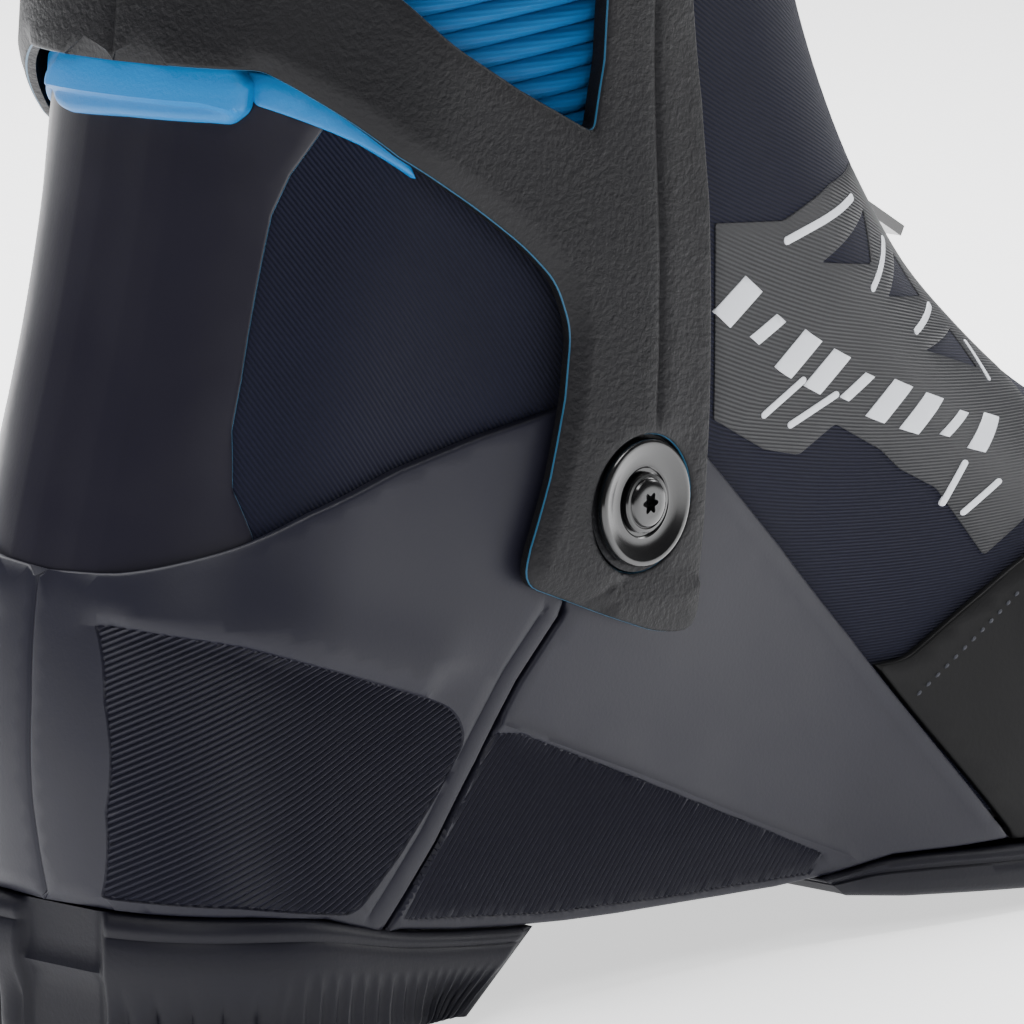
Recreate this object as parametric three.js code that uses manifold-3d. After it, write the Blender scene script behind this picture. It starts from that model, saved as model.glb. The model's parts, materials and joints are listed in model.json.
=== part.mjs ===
// A cuffed cross country skating boot for the right foot, in millimetres.
// While it is drawn, x runs forward from the back of the heel, y to the inner (medial) side and z up from
// the ground. At the end the whole boot is moved so that its origin is the middle of its footprint.
// Every wall of the boot follows one surface, the outside of the moulded chassis, at its own depth below
// or above it.
import * as THREE from "three";
import { mergeVertices } from "three/addons/utils/BufferGeometryUtils.js";
import Module from "manifold-3d";

// ---- Driving dimensions ----
const LENGTH = 300; // heel to toe, over the chassis
const TOP = 212; // the highest edge of the soft shaft
const ABOVE = 3; // the surface runs on above that edge before it is cut level
const PIVOT = { x: 88, z: 80 }; // the ankle axis of the cuff
const GAP = 0.3; // between pieces that touch
const CHASSIS = 1.9; // wall of the heel cradle and the midfoot frame
const SKIN = 1.4; // wall of the counter, the quarters and the lace cover
const LINING = 2.3; // wall of the padded sock inside
const TONGUE = 2.5;
const CUFF_GAP = 1.4; // free space between the chassis and the cuff
const CUFF = 3.0; // wall of the cuff
const FLEX = 20; // degrees the cuff swings forward

// Depths below the chassis surface (negative is inside it)
const SKIN_OUT = -CHASSIS - GAP;
const SKIN_IN = SKIN_OUT - SKIN;
const LINING_OUT = SKIN_IN - GAP;
const LINING_IN = LINING_OUT - LINING;
const TONGUE_OUT = LINING_IN - 3.4; // room for the lace
const TONGUE_IN = TONGUE_OUT - TONGUE;
const CUFF_IN = CUFF_GAP;
const CUFF_OUT = CUFF_IN + CUFF;

// ---- Curves of the boot's side view ----
// [z, x] down the back of the heel and [x, z] down the instep to the toe
const BACK = [
  [0, 9], [20, 3.5], [35, 0.8], [50, 0], [68, 2], [90, 8], [110, 14], [130, 19], [150, 22.5], [170, 24],
  [190, 22], [215, 16],
];
const INSTEP = [
  [138, 225], [141, 210], [145, 190], [150, 172], [157, 152], [167, 132], [180, 114], [194, 101], [210, 89],
  [230, 78], [252, 68], [272, 57], [288, 44], [297, 31], [LENGTH, 20], [LENGTH, 0],
];
// [x, z] of the chassis's lower edge, where the outsole starts
const SOLE = [
  [0, 24], [25, 22.5], [48, 17], [78, 13], [110, 11], [142, 10], [156, 12], [185, 10.8], [230, 9], [262, 11],
  [285, 15], [LENGTH, 20],
];
// Half widths at each station along the boot, one for each height
const HEIGHTS = [0, 22, 45, 80, 115, 150, 215];
const WIDTHS = [
  [0, [30, 33, 33, 32, 31, 32, 36]],
  [40, [31, 34, 34.5, 36, 36, 36.5, 39]],
  [88, [31.5, 34.5, 37, 41.5, 41, 39.5, 41]],
  [140, [32, 36, 38.5, 41, 40, 38, 40]],
  [180, [41, 44, 44.5, 42, 38, 36, 38]],
  [215, [46, 49, 49, 43, 38, 36, 38]],
  [255, [45, 48, 47.5, 42, 38, 36, 38]],
  [300, [38, 40, 40, 38, 38, 36, 38]],
];
const HEEL_ROUND = { reach: 31, power: 2.3 }; // how far in from the heel the wall reaches its full width
const INSTEP_ROUND = { reach: 34, power: 2.1 };
const TOE_SWING = 6; // the toe lies this far to the inner side

// ---- Interpolation ----
// Smooth curve through the values at the knots.
function smooth(knots, values, t) {
  const last = knots.length - 1;
  const at = Math.min(Math.max(t, knots[0]), knots[last]);
  let i = 0;
  while (i < last - 1 && at > knots[i + 1]) i++;
  const slope = (k) => {
    const a = Math.max(k - 1, 0);
    const b = Math.min(k + 1, last);
    return (values[b] - values[a]) / (knots[b] - knots[a]);
  };
  const h = knots[i + 1] - knots[i];
  const u = (at - knots[i]) / h;
  return (1 + 2 * u) * (1 - u) ** 2 * values[i] + u * (1 - u) ** 2 * h * slope(i)
    + u * u * (3 - 2 * u) * values[i + 1] + u * u * (u - 1) * h * slope(i + 1);
}
const through = (pairs, t) => smooth(pairs.map((p) => p[0]), pairs.map((p) => p[1]), t);
const backX = (z) => through(BACK, z);
const soleZ = (x) => through(SOLE, x);
const smoothStep = (u) => {
  const c = Math.min(Math.max(u, 0), 1);
  return c * c * (3 - 2 * c);
};
const centreY = (x) => TOE_SWING * smoothStep((x - 130) / 150);

// The instep as a fine polyline of [x, z]
const instepLine = (() => {
  const lengths = [0];
  for (let i = 1; i < INSTEP.length; i++)
    lengths.push(lengths[i - 1]
      + Math.hypot(INSTEP[i][0] - INSTEP[i - 1][0], INSTEP[i][1] - INSTEP[i - 1][1]));
  const steps = 160;
  return Array.from({ length: steps + 1 }, (_, i) => {
    const t = (lengths.at(-1) * i) / steps;
    return [smooth(lengths, INSTEP.map((p) => p[0]), t), smooth(lengths, INSTEP.map((p) => p[1]), t)];
  });
})();

// How far (x, z) lies inside the instep; negative outside
function insideInstep(x, z) {
  let best = Infinity;
  let side = 1;
  for (let i = 1; i < instepLine.length; i++) {
    const [ax, az] = instepLine[i - 1];
    const [bx, bz] = instepLine[i];
    const along = ((x - ax) * (bx - ax) + (z - az) * (bz - az)) / ((bx - ax) ** 2 + (bz - az) ** 2);
    const u = Math.min(Math.max(along, 0), 1);
    const d = Math.hypot(x - ax - u * (bx - ax), z - az - u * (bz - az));
    if (d < best) {
      best = d;
      side = (bx - ax) * (z - az) - (bz - az) * (x - ax) < 0 ? 1 : -1;
    }
  }
  return best * side;
}

// Half width of the chassis surface at (x, z): full width, rounded in towards the heel and towards the instep
function halfWidth(x, z) {
  const full = smooth(WIDTHS.map((w) => w[0]), WIDTHS.map((w) => smooth(HEIGHTS, w[1], z)), x);
  const rounding = (depth, { reach, power }) =>
    depth <= 0 ? 0 : (1 - (1 - Math.min(depth / reach, 1)) ** power) ** (1 / power);
  return full * rounding(x - backX(z), HEEL_ROUND) * rounding(insideInstep(x, z), INSTEP_ROUND);
}

// ---- Solids ----
const wasm = await Module();
wasm.setup();

function solid(geometry) {
  const bare = geometry.index ? geometry.toNonIndexed() : geometry.clone();
  for (const name of Object.keys(bare.attributes)) if (name !== "position") bare.deleteAttribute(name);
  const merged = mergeVertices(bare, 1e-4);
  const index = Array.from(merged.index.array);
  const triVerts = [];
  for (let i = 0; i < index.length; i += 3) {
    const [a, b, c] = index.slice(i, i + 3);
    if (a !== b && b !== c && c !== a) triVerts.push(a, b, c);
  }
  return new wasm.Manifold(new wasm.Mesh({
    numProp: 3,
    vertProperties: merged.attributes.position.array,
    triVerts: new Uint32Array(triVerts),
  }));
}

function geometryOf(made) {
  const { numProp, numVert, vertProperties, triVerts } = made.getMesh();
  const positions = new Float32Array(numVert * 3);
  for (let i = 0; i < numVert; i++) positions.set(vertProperties.subarray(i * numProp, i * numProp + 3), i * 3);
  return new THREE.BufferGeometry()
    .setAttribute("position", new THREE.BufferAttribute(positions, 3))
    .setIndex(new THREE.BufferAttribute(triVerts, 1));
}

// Stations of the boot's own solid: down the back, then along the sole, each joined to a place on the instep
const BACK_STATIONS = 8;
const SOLE_STATIONS = 13;
const SIDE_POINTS = 7;

const outerEdge = (() => {
  const heel = soleZ(0);
  const edge = [];
  for (let i = 0; i < BACK_STATIONS; i++) {
    const z = TOP + ABOVE + (heel - TOP - ABOVE) * (i / BACK_STATIONS);
    edge.push({ x: backX(z), z, sole: false });
  }
  for (let i = 0; i <= SOLE_STATIONS; i++) {
    const x = backX(heel) + (LENGTH - backX(heel)) * (i / SOLE_STATIONS);
    edge.push({ x, z: soleZ(x), sole: i > 0 });
  }
  return edge;
})();

const innerEdge = (() => {
  const inBoot = instepLine.filter(([, z]) => z <= TOP + ABOVE && z >= soleZ(LENGTH));
  return outerEdge.map((_, i) => {
    const t = (i / (outerEdge.length - 1)) * (inBoot.length - 1);
    const k = Math.min(Math.floor(t), inBoot.length - 2);
    const u = t - k;
    const between = (axis) => inBoot[k][axis] * (1 - u) + inBoot[k + 1][axis] * u;
    return { x: between(0), z: between(1) };
  });
})();

// Outward direction of the surface at (x, z) on one side, level at the sole's edge
function outward(x, z, side, onCentre, onSole) {
  const inset = 1;
  const towards = new THREE.Vector2(PIVOT.x + 30 - x, PIVOT.z - 20 - z).setLength(inset);
  const px = x + towards.x;
  const pz = z + towards.y;
  const step = 0.5;
  const dx = (halfWidth(px + step, pz) - halfWidth(px - step, pz)) / (2 * step);
  const dz = (halfWidth(px, pz + step) - halfWidth(px, pz - step)) / (2 * step);
  return new THREE.Vector3(-dx, onCentre ? 0 : side, onSole ? 0 : -dz).normalize();
}

// The whole boot as one solid, its surface moved out by offset
const bodies = new Map();
function body(offset) {
  if (bodies.has(offset)) return bodies.get(offset);
  const rings = outerEdge.map((outer, i) => {
    const inner = innerEdge[i];
    const half = (side) => Array.from({ length: SIDE_POINTS + 1 }, (_, j) => {
      const c = (1 - Math.cos((Math.PI * j) / SIDE_POINTS)) / 2;
      const x = outer.x + c * (inner.x - outer.x);
      const z = outer.z + c * (inner.z - outer.z);
      const last = i === outerEdge.length - 1;
      const onCentre = last || j === SIDE_POINTS || (j === 0 && !outer.sole);
      const width = onCentre ? 0 : halfWidth(x, z);
      const n = last ? new THREE.Vector3(1, 0, 0) : outward(x, z, side, onCentre, j === 0 && outer.sole);
      return new THREE.Vector3(x, centreY(x) + side * width, z)
        .addScaledVector(i === 0 ? n.setZ(0) : n, offset);
    });
    return [...half(1), ...half(-1).reverse()];
  });
  const around = rings[0].length;
  const positions = [];
  const triangle = (a, b, c) => positions.push(...a, ...b, ...c);
  for (let i = 0; i + 1 < rings.length; i++)
    for (let j = 0; j < around; j++) {
      const k = (j + 1) % around;
      triangle(rings[i][j], rings[i][k], rings[i + 1][j]);
      triangle(rings[i][k], rings[i + 1][k], rings[i + 1][j]);
    }
  const middle = rings[0].reduce((sum, p) => sum.add(p), new THREE.Vector3()).divideScalar(around);
  rings[0].forEach((p, j) => triangle(middle, rings[0][(j + 1) % around], p));
  const geometry = new THREE.BufferGeometry()
    .setAttribute("position", new THREE.Float32BufferAttribute(positions, 3));
  const made = solid(geometry);
  if (made.volume() < 0) throw new Error("the boot's surface faces inwards");
  bodies.set(offset, made);
  return made;
}

// A prism through the boot, seen from the side. Points are [x, z] or [x, z, corner radius].
const WIDE = 90;
function outline(points) {
  const shape = new THREE.Shape();
  points.forEach(([x, z, r = 0], i) => {
    const before = points.at(i - 1);
    const after = points[(i + 1) % points.length];
    const to = (p) => new THREE.Vector2(p[0] - x, p[1] - z).setLength(r);
    const a = to(before);
    const b = to(after);
    if (i === 0) shape.moveTo(x + a.x, z + a.y);
    else shape.lineTo(x + a.x, z + a.y);
    if (r) shape.quadraticCurveTo(x, z, x + b.x, z + b.y);
  });
  shape.closePath();
  return shape;
}
function region(points, low = -WIDE, high = WIDE, curveSegments = 3) {
  const prism = { depth: high - low, bevelEnabled: false, curveSegments };
  const geometry = new THREE.ExtrudeGeometry(outline(points), prism);
  return solid(geometry.rotateX(Math.PI / 2).translate(0, high, 0));
}
// Points along the sole line, raised, from one x to another, with the stations' own points between them
function soleLine(rise, from, to) {
  const line = outerEdge.slice(BACK_STATIONS).map((p) => [p.x, p.z]);
  const at = (x) => {
    if (x <= line[0][0]) return line[0][1];
    if (x >= line.at(-1)[0]) return line.at(-1)[1];
    const i = line.findIndex((p) => p[0] >= x);
    const [[ax, az], [bx, bz]] = [line[i - 1], line[i]];
    return az + ((bz - az) * (x - ax)) / (bx - ax);
  };
  const between = line.filter(([x]) => x > from + 0.5 && x < to - 0.5);
  return [[from, at(from)], ...between, [to, at(to)]].map(([x, z]) => [x, z + rise]);
}
const aboveSole = (rise) => region([...soleLine(rise, -20, 320), [320, 260], [-20, 260]]);
// The boot moved out by offset, with its floor raised as far as its sides are moved in
const hull = (offset) => (offset < 0 ? body(offset).intersect(aboveSole(-offset)) : body(offset));
const wall = (outer, inner, ...regions) =>
  regions.reduce((made, r) => made.intersect(r), hull(outer)).subtract(hull(inner));
// A prism standing on the ground between two lines that keep their distances from the boot's centre line
function along(low, high, from = -20, to = 340) {
  const steps = 16;
  const xs = Array.from({ length: steps + 1 }, (_, i) => from + ((to - from) * i) / steps);
  const line = (distance) => xs.map((x) => new THREE.Vector2(x, centreY(x) + distance));
  const shape = new THREE.Shape([...line(low), ...line(high).reverse()]);
  return solid(new THREE.ExtrudeGeometry(shape, { depth: 300, bevelEnabled: false }).translate(0, 0, -20));
}
const LATERAL = along(-WIDE, -GAP / 2);
const MEDIAL = along(GAP / 2, WIDE);
// The boot's outline on the ground, drawn in by inset
function footprint(inset) {
  const steps = 22;
  const half = Array.from({ length: steps + 1 }, (_, i) => {
    const x = 2 + (LENGTH - 4) * (1 - Math.cos((Math.PI * i) / steps)) / 2;
    return [x, Math.max(halfWidth(x, soleZ(x) + 2) - inset, 0.5)];
  });
  const shape = new THREE.Shape([
    ...half.map(([x, w]) => new THREE.Vector2(x, centreY(x) - w)),
    ...half.reverse().map(([x, w]) => new THREE.Vector2(x, centreY(x) + w)),
  ]);
  return solid(new THREE.ExtrudeGeometry(shape, { depth: 60, bevelEnabled: false }).translate(0, 0, -10));
}

function cylinder(radius, length, x, y, z, segments = 16) {
  return solid(new THREE.CylinderGeometry(radius, radius, length, segments).translate(x, y, z));
}
function box(x0, x1, y0, y1, z0, z1) {
  return solid(new THREE.BoxGeometry(x1 - x0, y1 - y0, z1 - z0)
    .translate((x0 + x1) / 2, (y0 + y1) / 2, (z0 + z1) / 2));
}
const join = (pieces) => pieces.reduce((a, b) => a.add(b));
const largest = (made) => made.decompose().sort((a, b) => b.volume() - a.volume())[0];

// ---- Where the pieces meet, seen from the side ----
// Between the shaft, which turns with the cuff, and the foot is a free wedge as wide as the cuff's swing
const ray = (degrees, reach) => {
  const angle = THREE.MathUtils.degToRad(degrees);
  return [PIVOT.x + reach * Math.cos(angle), PIVOT.z + reach * Math.sin(angle)];
};
const FOOT_RAY = 33;
const SHAFT_RAY = FOOT_RAY + FLEX + 1.5;
const SHAFT = region([[5, 150.5], [30, 146.5], [72, 119], [84, 104], ray(SHAFT_RAY, 24),
  ray(SHAFT_RAY, (TOP - PIVOT.z) / Math.sin(THREE.MathUtils.degToRad(SHAFT_RAY))), [5, TOP]]);
const FOOT = region([
  ray(FOOT_RAY, 130), ray(FOOT_RAY, 24), [100, 97], [82, 100], [69, 116.5], [28, 144], [5, 148],
  [-20, 148], [-20, -5], [340, -5], [340, 150.8],
]);
const CHASSIS_SPLIT = [[77, 96], [77, 64], [68.5, 53], [61, 41.5], [53, 30], [42, 17], [39, 5]];
const COUNTER_EDGE = [[34, 142], [27, 129], [23.5, 117], [20.5, 104], [18, 95], [18, 86], [22, 70]];
const FRAME_EDGE = [[107.5, 83.8], [125.6, 67.8], [143.8, 50.7], [160.2, 33.8], [181.2, 11.8]];
const moved = (points, dx, dz) => points.map(([x, z, r]) => (r ? [x + dx, z + dz, r] : [x + dx, z + dz]));

const group = new THREE.Group();
const materials = {
  shell: { color: 0x1b1c22, roughness: 0.5, metalness: 0 },
  cuff: { color: 0x161719, roughness: 0.6, metalness: 0 },
  counter: { color: 0x1b1b24, roughness: 0.32, metalness: 0 },
  softshell: { color: 0x20222e, roughness: 0.9, metalness: 0 },
  overlay: { color: 0x1c1d1e, roughness: 0.45, metalness: 0 },
  rubber: { color: 0x16161b, roughness: 0.7, metalness: 0 },
  blue: { color: 0x0a76c4, roughness: 0.6, metalness: 0 },
  webbing: { color: 0x121214, roughness: 0.95, metalness: 0 },
  board: { color: 0x2b2b2d, roughness: 0.6, metalness: 0 },
  foam: { color: 0x17456b, roughness: 0.95, metalness: 0 },
  steel: { color: 0xb9bcc0, roughness: 0.3, metalness: 1 },
  blackMetal: { color: 0x1a1a1c, roughness: 0.28, metalness: 0.9 },
};
for (const name of Object.keys(materials)) materials[name] = new THREE.MeshStandardMaterial(materials[name]);
function piece(name, material, made) {
  const mesh = new THREE.Mesh(geometryOf(made), materials[material]);
  mesh.name = name;
  group.add(mesh);
}

// ---- Chassis ----
const WALL = halfWidth(PIVOT.x, PIVOT.z); // distance from the centre line to the chassis at the pivot
const PIVOT_BORE = 4.9;
const CUFF_BORE = 6.5;
const WASHER = 10;
const NUT_FLANGE = 9.3;
const RECESS_FLOOR = WALL + CUFF_OUT - 1.6;
const flangeFace = WALL - CHASSIS - GAP;
const throughPivot = (radius) => cylinder(radius, 2 * WIDE, PIVOT.x, 0, PIVOT.z);

const cradleTop = [[-12, 74], [5.8, 76], [17, 80.4], [26.8, 84.5], [43, 89.5], [58.3, 92.9]];
const cradleArea = region([...cradleTop, ...moved(CHASSIS_SPLIT, -0.4, 0), [-12, 5]]);
piece("heel_cradle", "shell", wall(0, -CHASSIS, cradleArea));
piece("midfoot_frame", "shell", wall(0, -CHASSIS,
  region([[77.4, 96.5], [90, 97], [101, 90.8], ...FRAME_EDGE, [183, -5], ...[...CHASSIS_SPLIT].reverse()]))
  .subtract(throughPivot(PIVOT_BORE))
  .subtract(cylinder(NUT_FLANGE + GAP, 2 * (flangeFace + GAP), PIVOT.x, 0, PIVOT.z)));

// ---- Outsole ----
const heelBlock = [...soleLine(-GAP, 0, 78), [62, 0], [14, 0], [6, 8]];
piece("outsole_heel", "rubber", footprint(0.8).intersect(region(heelBlock)));

const TOE_BAR = { x: 283, z: 8.5, radius: 2, half: 15.5 };
const toeY = centreY(TOE_BAR.x);
const forefootBlock = region([
  ...soleLine(-GAP, 147, 297),
  [298, 15], [290, 8], [276, 2.5], [252, 0], [214, 0], [186, 3], [160, 5.2], [148, 6.8], [144, 9.3],
]);
const pocketHalf = 17;
const groove = (y) => along(y - 3.5, y + 3.5, 140, 262)
  .intersect(region([[140, 6.2], [200, 3.6], [262, 3.6], [262, -5], [140, -5]]));
piece("outsole_forefoot", "rubber", footprint(0.8).intersect(forefootBlock)
  .subtract(groove(-13)).subtract(groove(13))
  .subtract(box(269, 320, toeY - pocketHalf, toeY + pocketHalf, -5, 40)));
piece("toe_bar_carrier", "overlay", footprint(1.2).intersect(forefootBlock)
  .intersect(box(269 + GAP, 320, toeY - pocketHalf + GAP, toeY + pocketHalf - GAP, -5, 40))
  .subtract(box(274.5, 320, toeY - 11, toeY + 11, -5, 12.5))
  .subtract(cylinder(TOE_BAR.radius + GAP, 2 * TOE_BAR.half + 2 * GAP, TOE_BAR.x, toeY, TOE_BAR.z)));
piece("toe_bar", "steel", cylinder(TOE_BAR.radius, 2 * TOE_BAR.half, TOE_BAR.x, toeY, TOE_BAR.z));

// ---- Plates under the foot ----
const layer = (low, high, from, to) =>
  region([...soleLine(low, from, to), ...soleLine(high, from, to).reverse()]);
piece("forefoot_plate", "board", footprint(5).intersect(layer(0, CHASSIS - 0.1, 186, 286)));
piece("insole_board", "board", body(LINING_OUT).intersect(layer(4, 6, 8, 286)));
piece("footbed", "foam", body(LINING_IN - GAP).intersect(layer(6.4, 10.4, 8, 284)));

// ---- Foot of the upper ----
const throat = along(-19, 19);
const instepOnly = region([[122, 95], [214, 66], [245, 60], [245, 110], [200, 180], [122, 180]]);
const COVER_FRONT = 218;
const coverArea = instepOnly.intersect(region([[100, 60], [COVER_FRONT, 60], [COVER_FRONT, 200], [100, 200]]));
const nutHole = cylinder(NUT_FLANGE + GAP, 2 * WIDE, PIVOT.x, 0, PIVOT.z);
const counterArea = region([[-20, 160], [36, 160], ...COUNTER_EDGE, [22, 5], [-20, 5]]);
piece("heel_counter", "counter", largest(wall(SKIN_OUT, SKIN_IN, FOOT, counterArea)));
const skin = wall(SKIN_OUT, SKIN_IN, FOOT).subtract(nutHole)
  .subtract(region([[-20, 160], [36.4, 160], ...moved(COUNTER_EDGE, 0.4, 0), [22.4, -5], [-20, -5]]));
const quarters = skin.subtract(throat.intersect(coverArea));
piece("quarter_lateral", "softshell", largest(quarters.intersect(LATERAL)));
piece("quarter_medial", "softshell", largest(quarters.intersect(MEDIAL)));
const coverEnd = region([[100, 60], [COVER_FRONT - 0.4, 60], [COVER_FRONT - 0.4, 200], [100, 200]]);
const cover = skin.intersect(coverArea).intersect(coverEnd);
const ZIP_HALF = 3;
piece("lace_cover_lateral", "softshell", largest(cover.intersect(along(-19 + GAP, -ZIP_HALF - GAP))));
piece("lace_cover_medial", "softshell", largest(cover.intersect(along(ZIP_HALF + GAP, 19 - GAP))));
piece("zip_chain", "webbing", largest(wall(-1.7, -3.3, FOOT, coverArea).intersect(along(-ZIP_HALF, ZIP_HALF))
  .intersect(coverEnd)));

const liningThroat = along(-16, 16).intersect(instepOnly);
const lining = wall(LINING_OUT, LINING_IN, FOOT).intersect(aboveSole(6.4)).subtract(liningThroat);
piece("foot_lining_lateral", "foam", largest(lining.intersect(LATERAL)));
piece("foot_lining_medial", "foam", largest(lining.intersect(MEDIAL)));
const tongueArea = region([[124, 96], [206, 62], [232, 62], [232, 110], [200, 180], [124, 180]]);
piece("tongue", "foam", largest(wall(TONGUE_OUT, TONGUE_IN, FOOT, tongueArea).intersect(along(-24, 24))));

const TOE_CAP_EDGE = [[240, 2], [236, 30], [241, 62], [252, 90]];
const overFoot = aboveSole(2.4);
piece("toe_cap", "overlay", wall(-0.4, -CHASSIS, region([...TOE_CAP_EDGE, [330, 90], [330, 2]]), overFoot));
const overlayTop = [[150.9, 44.6], [157.4, 45], [168.1, 50.9, 4], [182.9, 58, 6], [205, 64.5, 8], [240.8, 66]];
const overlay = wall(-0.9, -CHASSIS, overFoot, region([
  ...overlayTop,
  ...moved(TOE_CAP_EDGE, -0.4, 0).slice(0, 3).reverse(),
  [190, 2],
  ...moved(FRAME_EDGE, 0.5, 0.4).slice(3).reverse(),
]));
piece("side_overlay_lateral", "overlay", largest(overlay.intersect(along(-WIDE, -19))));
piece("side_overlay_medial", "overlay", largest(overlay.intersect(along(19, WIDE))));

// ---- Cuff ----
const cuffOutline = [
  [-12, 151], [23.4, 151], [29.3, 146.5], [40.6, 137.3], [55, 128.5, 6], [71.5, 117.5, 6], [74, 106, 4],
  [69.2, 85.7], [64.2, 69, 5], [80.4, 63.2, 8], [101.2, 56.6, 4], [102.4, 84.9], [103.6, 107],
  [104.1, 125.3], [103.4, 140.8, 8], [101.5, 166, 7], [116, 174, 6], [128, 184, 6], [127, 199, 6],
  [112, 203, 8], [60, 200, 12], [-12, 197],
];
const windowOutline = [[36, 166, 4], [49.1, 154, 6], [78.6, 137.6, 2.5], [82.5, 176, 5], [44, 176, 6]];
const recess = (side) => cylinder(WASHER + 0.65, 20, PIVOT.x, side * (RECESS_FLOOR + 10), PIVOT.z);
const STRAP = { low: 177, high: 197, thick: 2 };
const RIVETS = { x: 89, z: 187, bore: 2.5, head: 4.2 };
const rivetBore = (side) => cylinder(RIVETS.bore, 30, RIVETS.x, side * (WALL + 5), RIVETS.z, 12);
piece("cuff_shell", "cuff", largest(wall(CUFF_OUT, CUFF_IN, region(cuffOutline))
  .subtract(region(windowOutline))
  .subtract(throughPivot(CUFF_BORE)).subtract(recess(1)).subtract(recess(-1))
  .subtract(rivetBore(1)).subtract(rivetBore(-1))));

const COLLAR_FRONT = 92;
const behind = (x) => region([[-20, 90], [x, 90], [x, 240], [-20, 240]]);
const before = (x) => region([[x, 90], [340, 90], [340, 240], [x, 240]]);
piece("collar_liner", "blue", largest(wall(-1.1, LINING_IN, SHAFT, behind(COLLAR_FRONT))));
piece("shaft_front", "softshell", largest(wall(SKIN_OUT, SKIN_IN, SHAFT, before(COLLAR_FRONT + 0.4))));
piece("shaft_lining", "foam", largest(wall(LINING_OUT, LINING_IN, SHAFT, before(COLLAR_FRONT + 0.4))));
const padArea = region([[-12, 150.4], [22, 150.4], [25, 148.2], [26, 142.2], [-12, 141.2]]);
piece("achilles_pad", "blue", largest(wall(3.4, -0.8, padArea)
  .intersect(box(-20, 60, -20, 20, 130, 160))));

// ---- Pivots ----
const turned = (profile, side, segments = 16) => {
  const lathe = new THREE.LatheGeometry(profile.map(([r, s]) => new THREE.Vector2(r, s)), segments);
  const onSide = side < 0 ? lathe.rotateX(Math.PI) : lathe;
  return solid(onSide.translate(PIVOT.x, 0, PIVOT.z));
};
for (const [name, side] of [["lateral", -1], ["medial", 1]]) {
  const barrelEnd = RECESS_FLOOR - 0.3;
  piece(`pivot_nut_${name}`, "steel", turned([
    [0, flangeFace - 1.4], [NUT_FLANGE, flangeFace - 1.4], [NUT_FLANGE, flangeFace], [4.6, flangeFace],
    [4.6, barrelEnd], [2.7, barrelEnd], [2.7, flangeFace - 0.6], [0, flangeFace - 0.6],
  ], side));
  piece(`pivot_bush_${name}`, "overlay", turned([
    [4.9, WALL + GAP], [6.2, WALL + GAP], [6.2, barrelEnd], [4.9, barrelEnd], [4.9, WALL + GAP],
  ], side));
  const seat = RECESS_FLOOR + GAP;
  piece(`pivot_washer_${name}`, "blackMetal", turned([
    [2.8, seat], [WASHER, seat], [WASHER, seat + 1], [9.2, seat + 1.6], [5.6, seat + 1], [5.2, seat + 0.4],
    [2.8, seat + 0.4], [2.8, seat],
  ], side));
  piece(`pivot_screw_${name}`, "blackMetal", turned([
    [0, flangeFace], [2.4, flangeFace], [2.4, seat + 0.7], [4, seat + 0.7], [4, seat + 1.8], [3.6, seat + 2.1],
    [1.9, seat + 2.1], [1.9, seat + 1.1], [0, seat + 1.1],
  ], side));
}

// ---- Bands of webbing ----
// One side of the shaft's outline at height z, from x = rear forward to x = until, moved out by offset(x)
function sideLine(z, side, rear, until, offset, steps) {
  const front = instepLine.reduce((best, p) => (Math.abs(p[1] - z) < Math.abs(best[1] - z) ? p : best))[0];
  const round = INSTEP_ROUND.reach;
  const bend = front - round;
  const lengthAt = (x) => (x < bend ? x - bend : round * Math.asin(Math.min((x - bend) / round, 1)));
  const at = (s) => {
    const x = s < 0 ? bend + s : bend + round * Math.sin(Math.min(s / round, Math.PI / 2));
    return new THREE.Vector2(x, centreY(x) + side * halfWidth(Math.min(x, front - 1e-4), z));
  };
  const from = lengthAt(rear);
  const to = lengthAt(until);
  return Array.from({ length: steps + 1 }, (_, i) => {
    const s = from + ((to - from) * i) / steps;
    const along = at(s + 0.5).sub(at(s - 0.5));
    if (along.lengthSq() < 1e-3) along.set(0, -side);
    const normal = new THREE.Vector2(-along.y, along.x).multiplyScalar(side).normalize();
    const p = at(s);
    const ahead = s + 0.5 > round * (Math.PI / 2);
    return p.addScaledVector(ahead ? new THREE.Vector2(1, 0) : normal, offset(p.x));
  });
}
// A band whose inner face runs along lines of [x, y] points, one at its lower edge and one at its upper edge
function band(lower, upper, low, high, thick) {
  const outward = (line, i) => {
    const a = line[Math.max(i - 1, 0)];
    const b = line[Math.min(i + 1, line.length - 1)];
    return new THREE.Vector2(-(b.y - a.y), b.x - a.x).normalize().multiplyScalar(thick);
  };
  const rings = lower.map((p, i) => {
    const q = upper[i];
    const out = p.clone().add(outward(lower, i));
    const outUpper = q.clone().add(outward(upper, i));
    return [[p.x, p.y, low], [out.x, out.y, low], [outUpper.x, outUpper.y, high], [q.x, q.y, high]];
  });
  const positions = [];
  for (let i = 0; i + 1 < rings.length; i++)
    for (let j = 0; j < 4; j++) {
      const k = (j + 1) % 4;
      positions.push(...rings[i][j], ...rings[i][k], ...rings[i + 1][j]);
      positions.push(...rings[i][k], ...rings[i + 1][k], ...rings[i + 1][j]);
    }
  for (const [a, b, c, d] of [rings[0].toReversed(), rings.at(-1)])
    positions.push(...a, ...b, ...c, ...a, ...c, ...d);
  const made = solid(new THREE.BufferGeometry()
    .setAttribute("position", new THREE.Float32BufferAttribute(positions, 3)));
  if (made.volume() <= 0) throw new Error("the band faces inwards");
  return made;
}
const arc = (x, y, radius, from, to, steps) => Array.from({ length: steps + 1 }, (_, i) => {
  const angle = THREE.MathUtils.degToRad(from + ((to - from) * i) / steps);
  return new THREE.Vector2(x + radius * Math.cos(angle), y + radius * Math.sin(angle));
});

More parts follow.
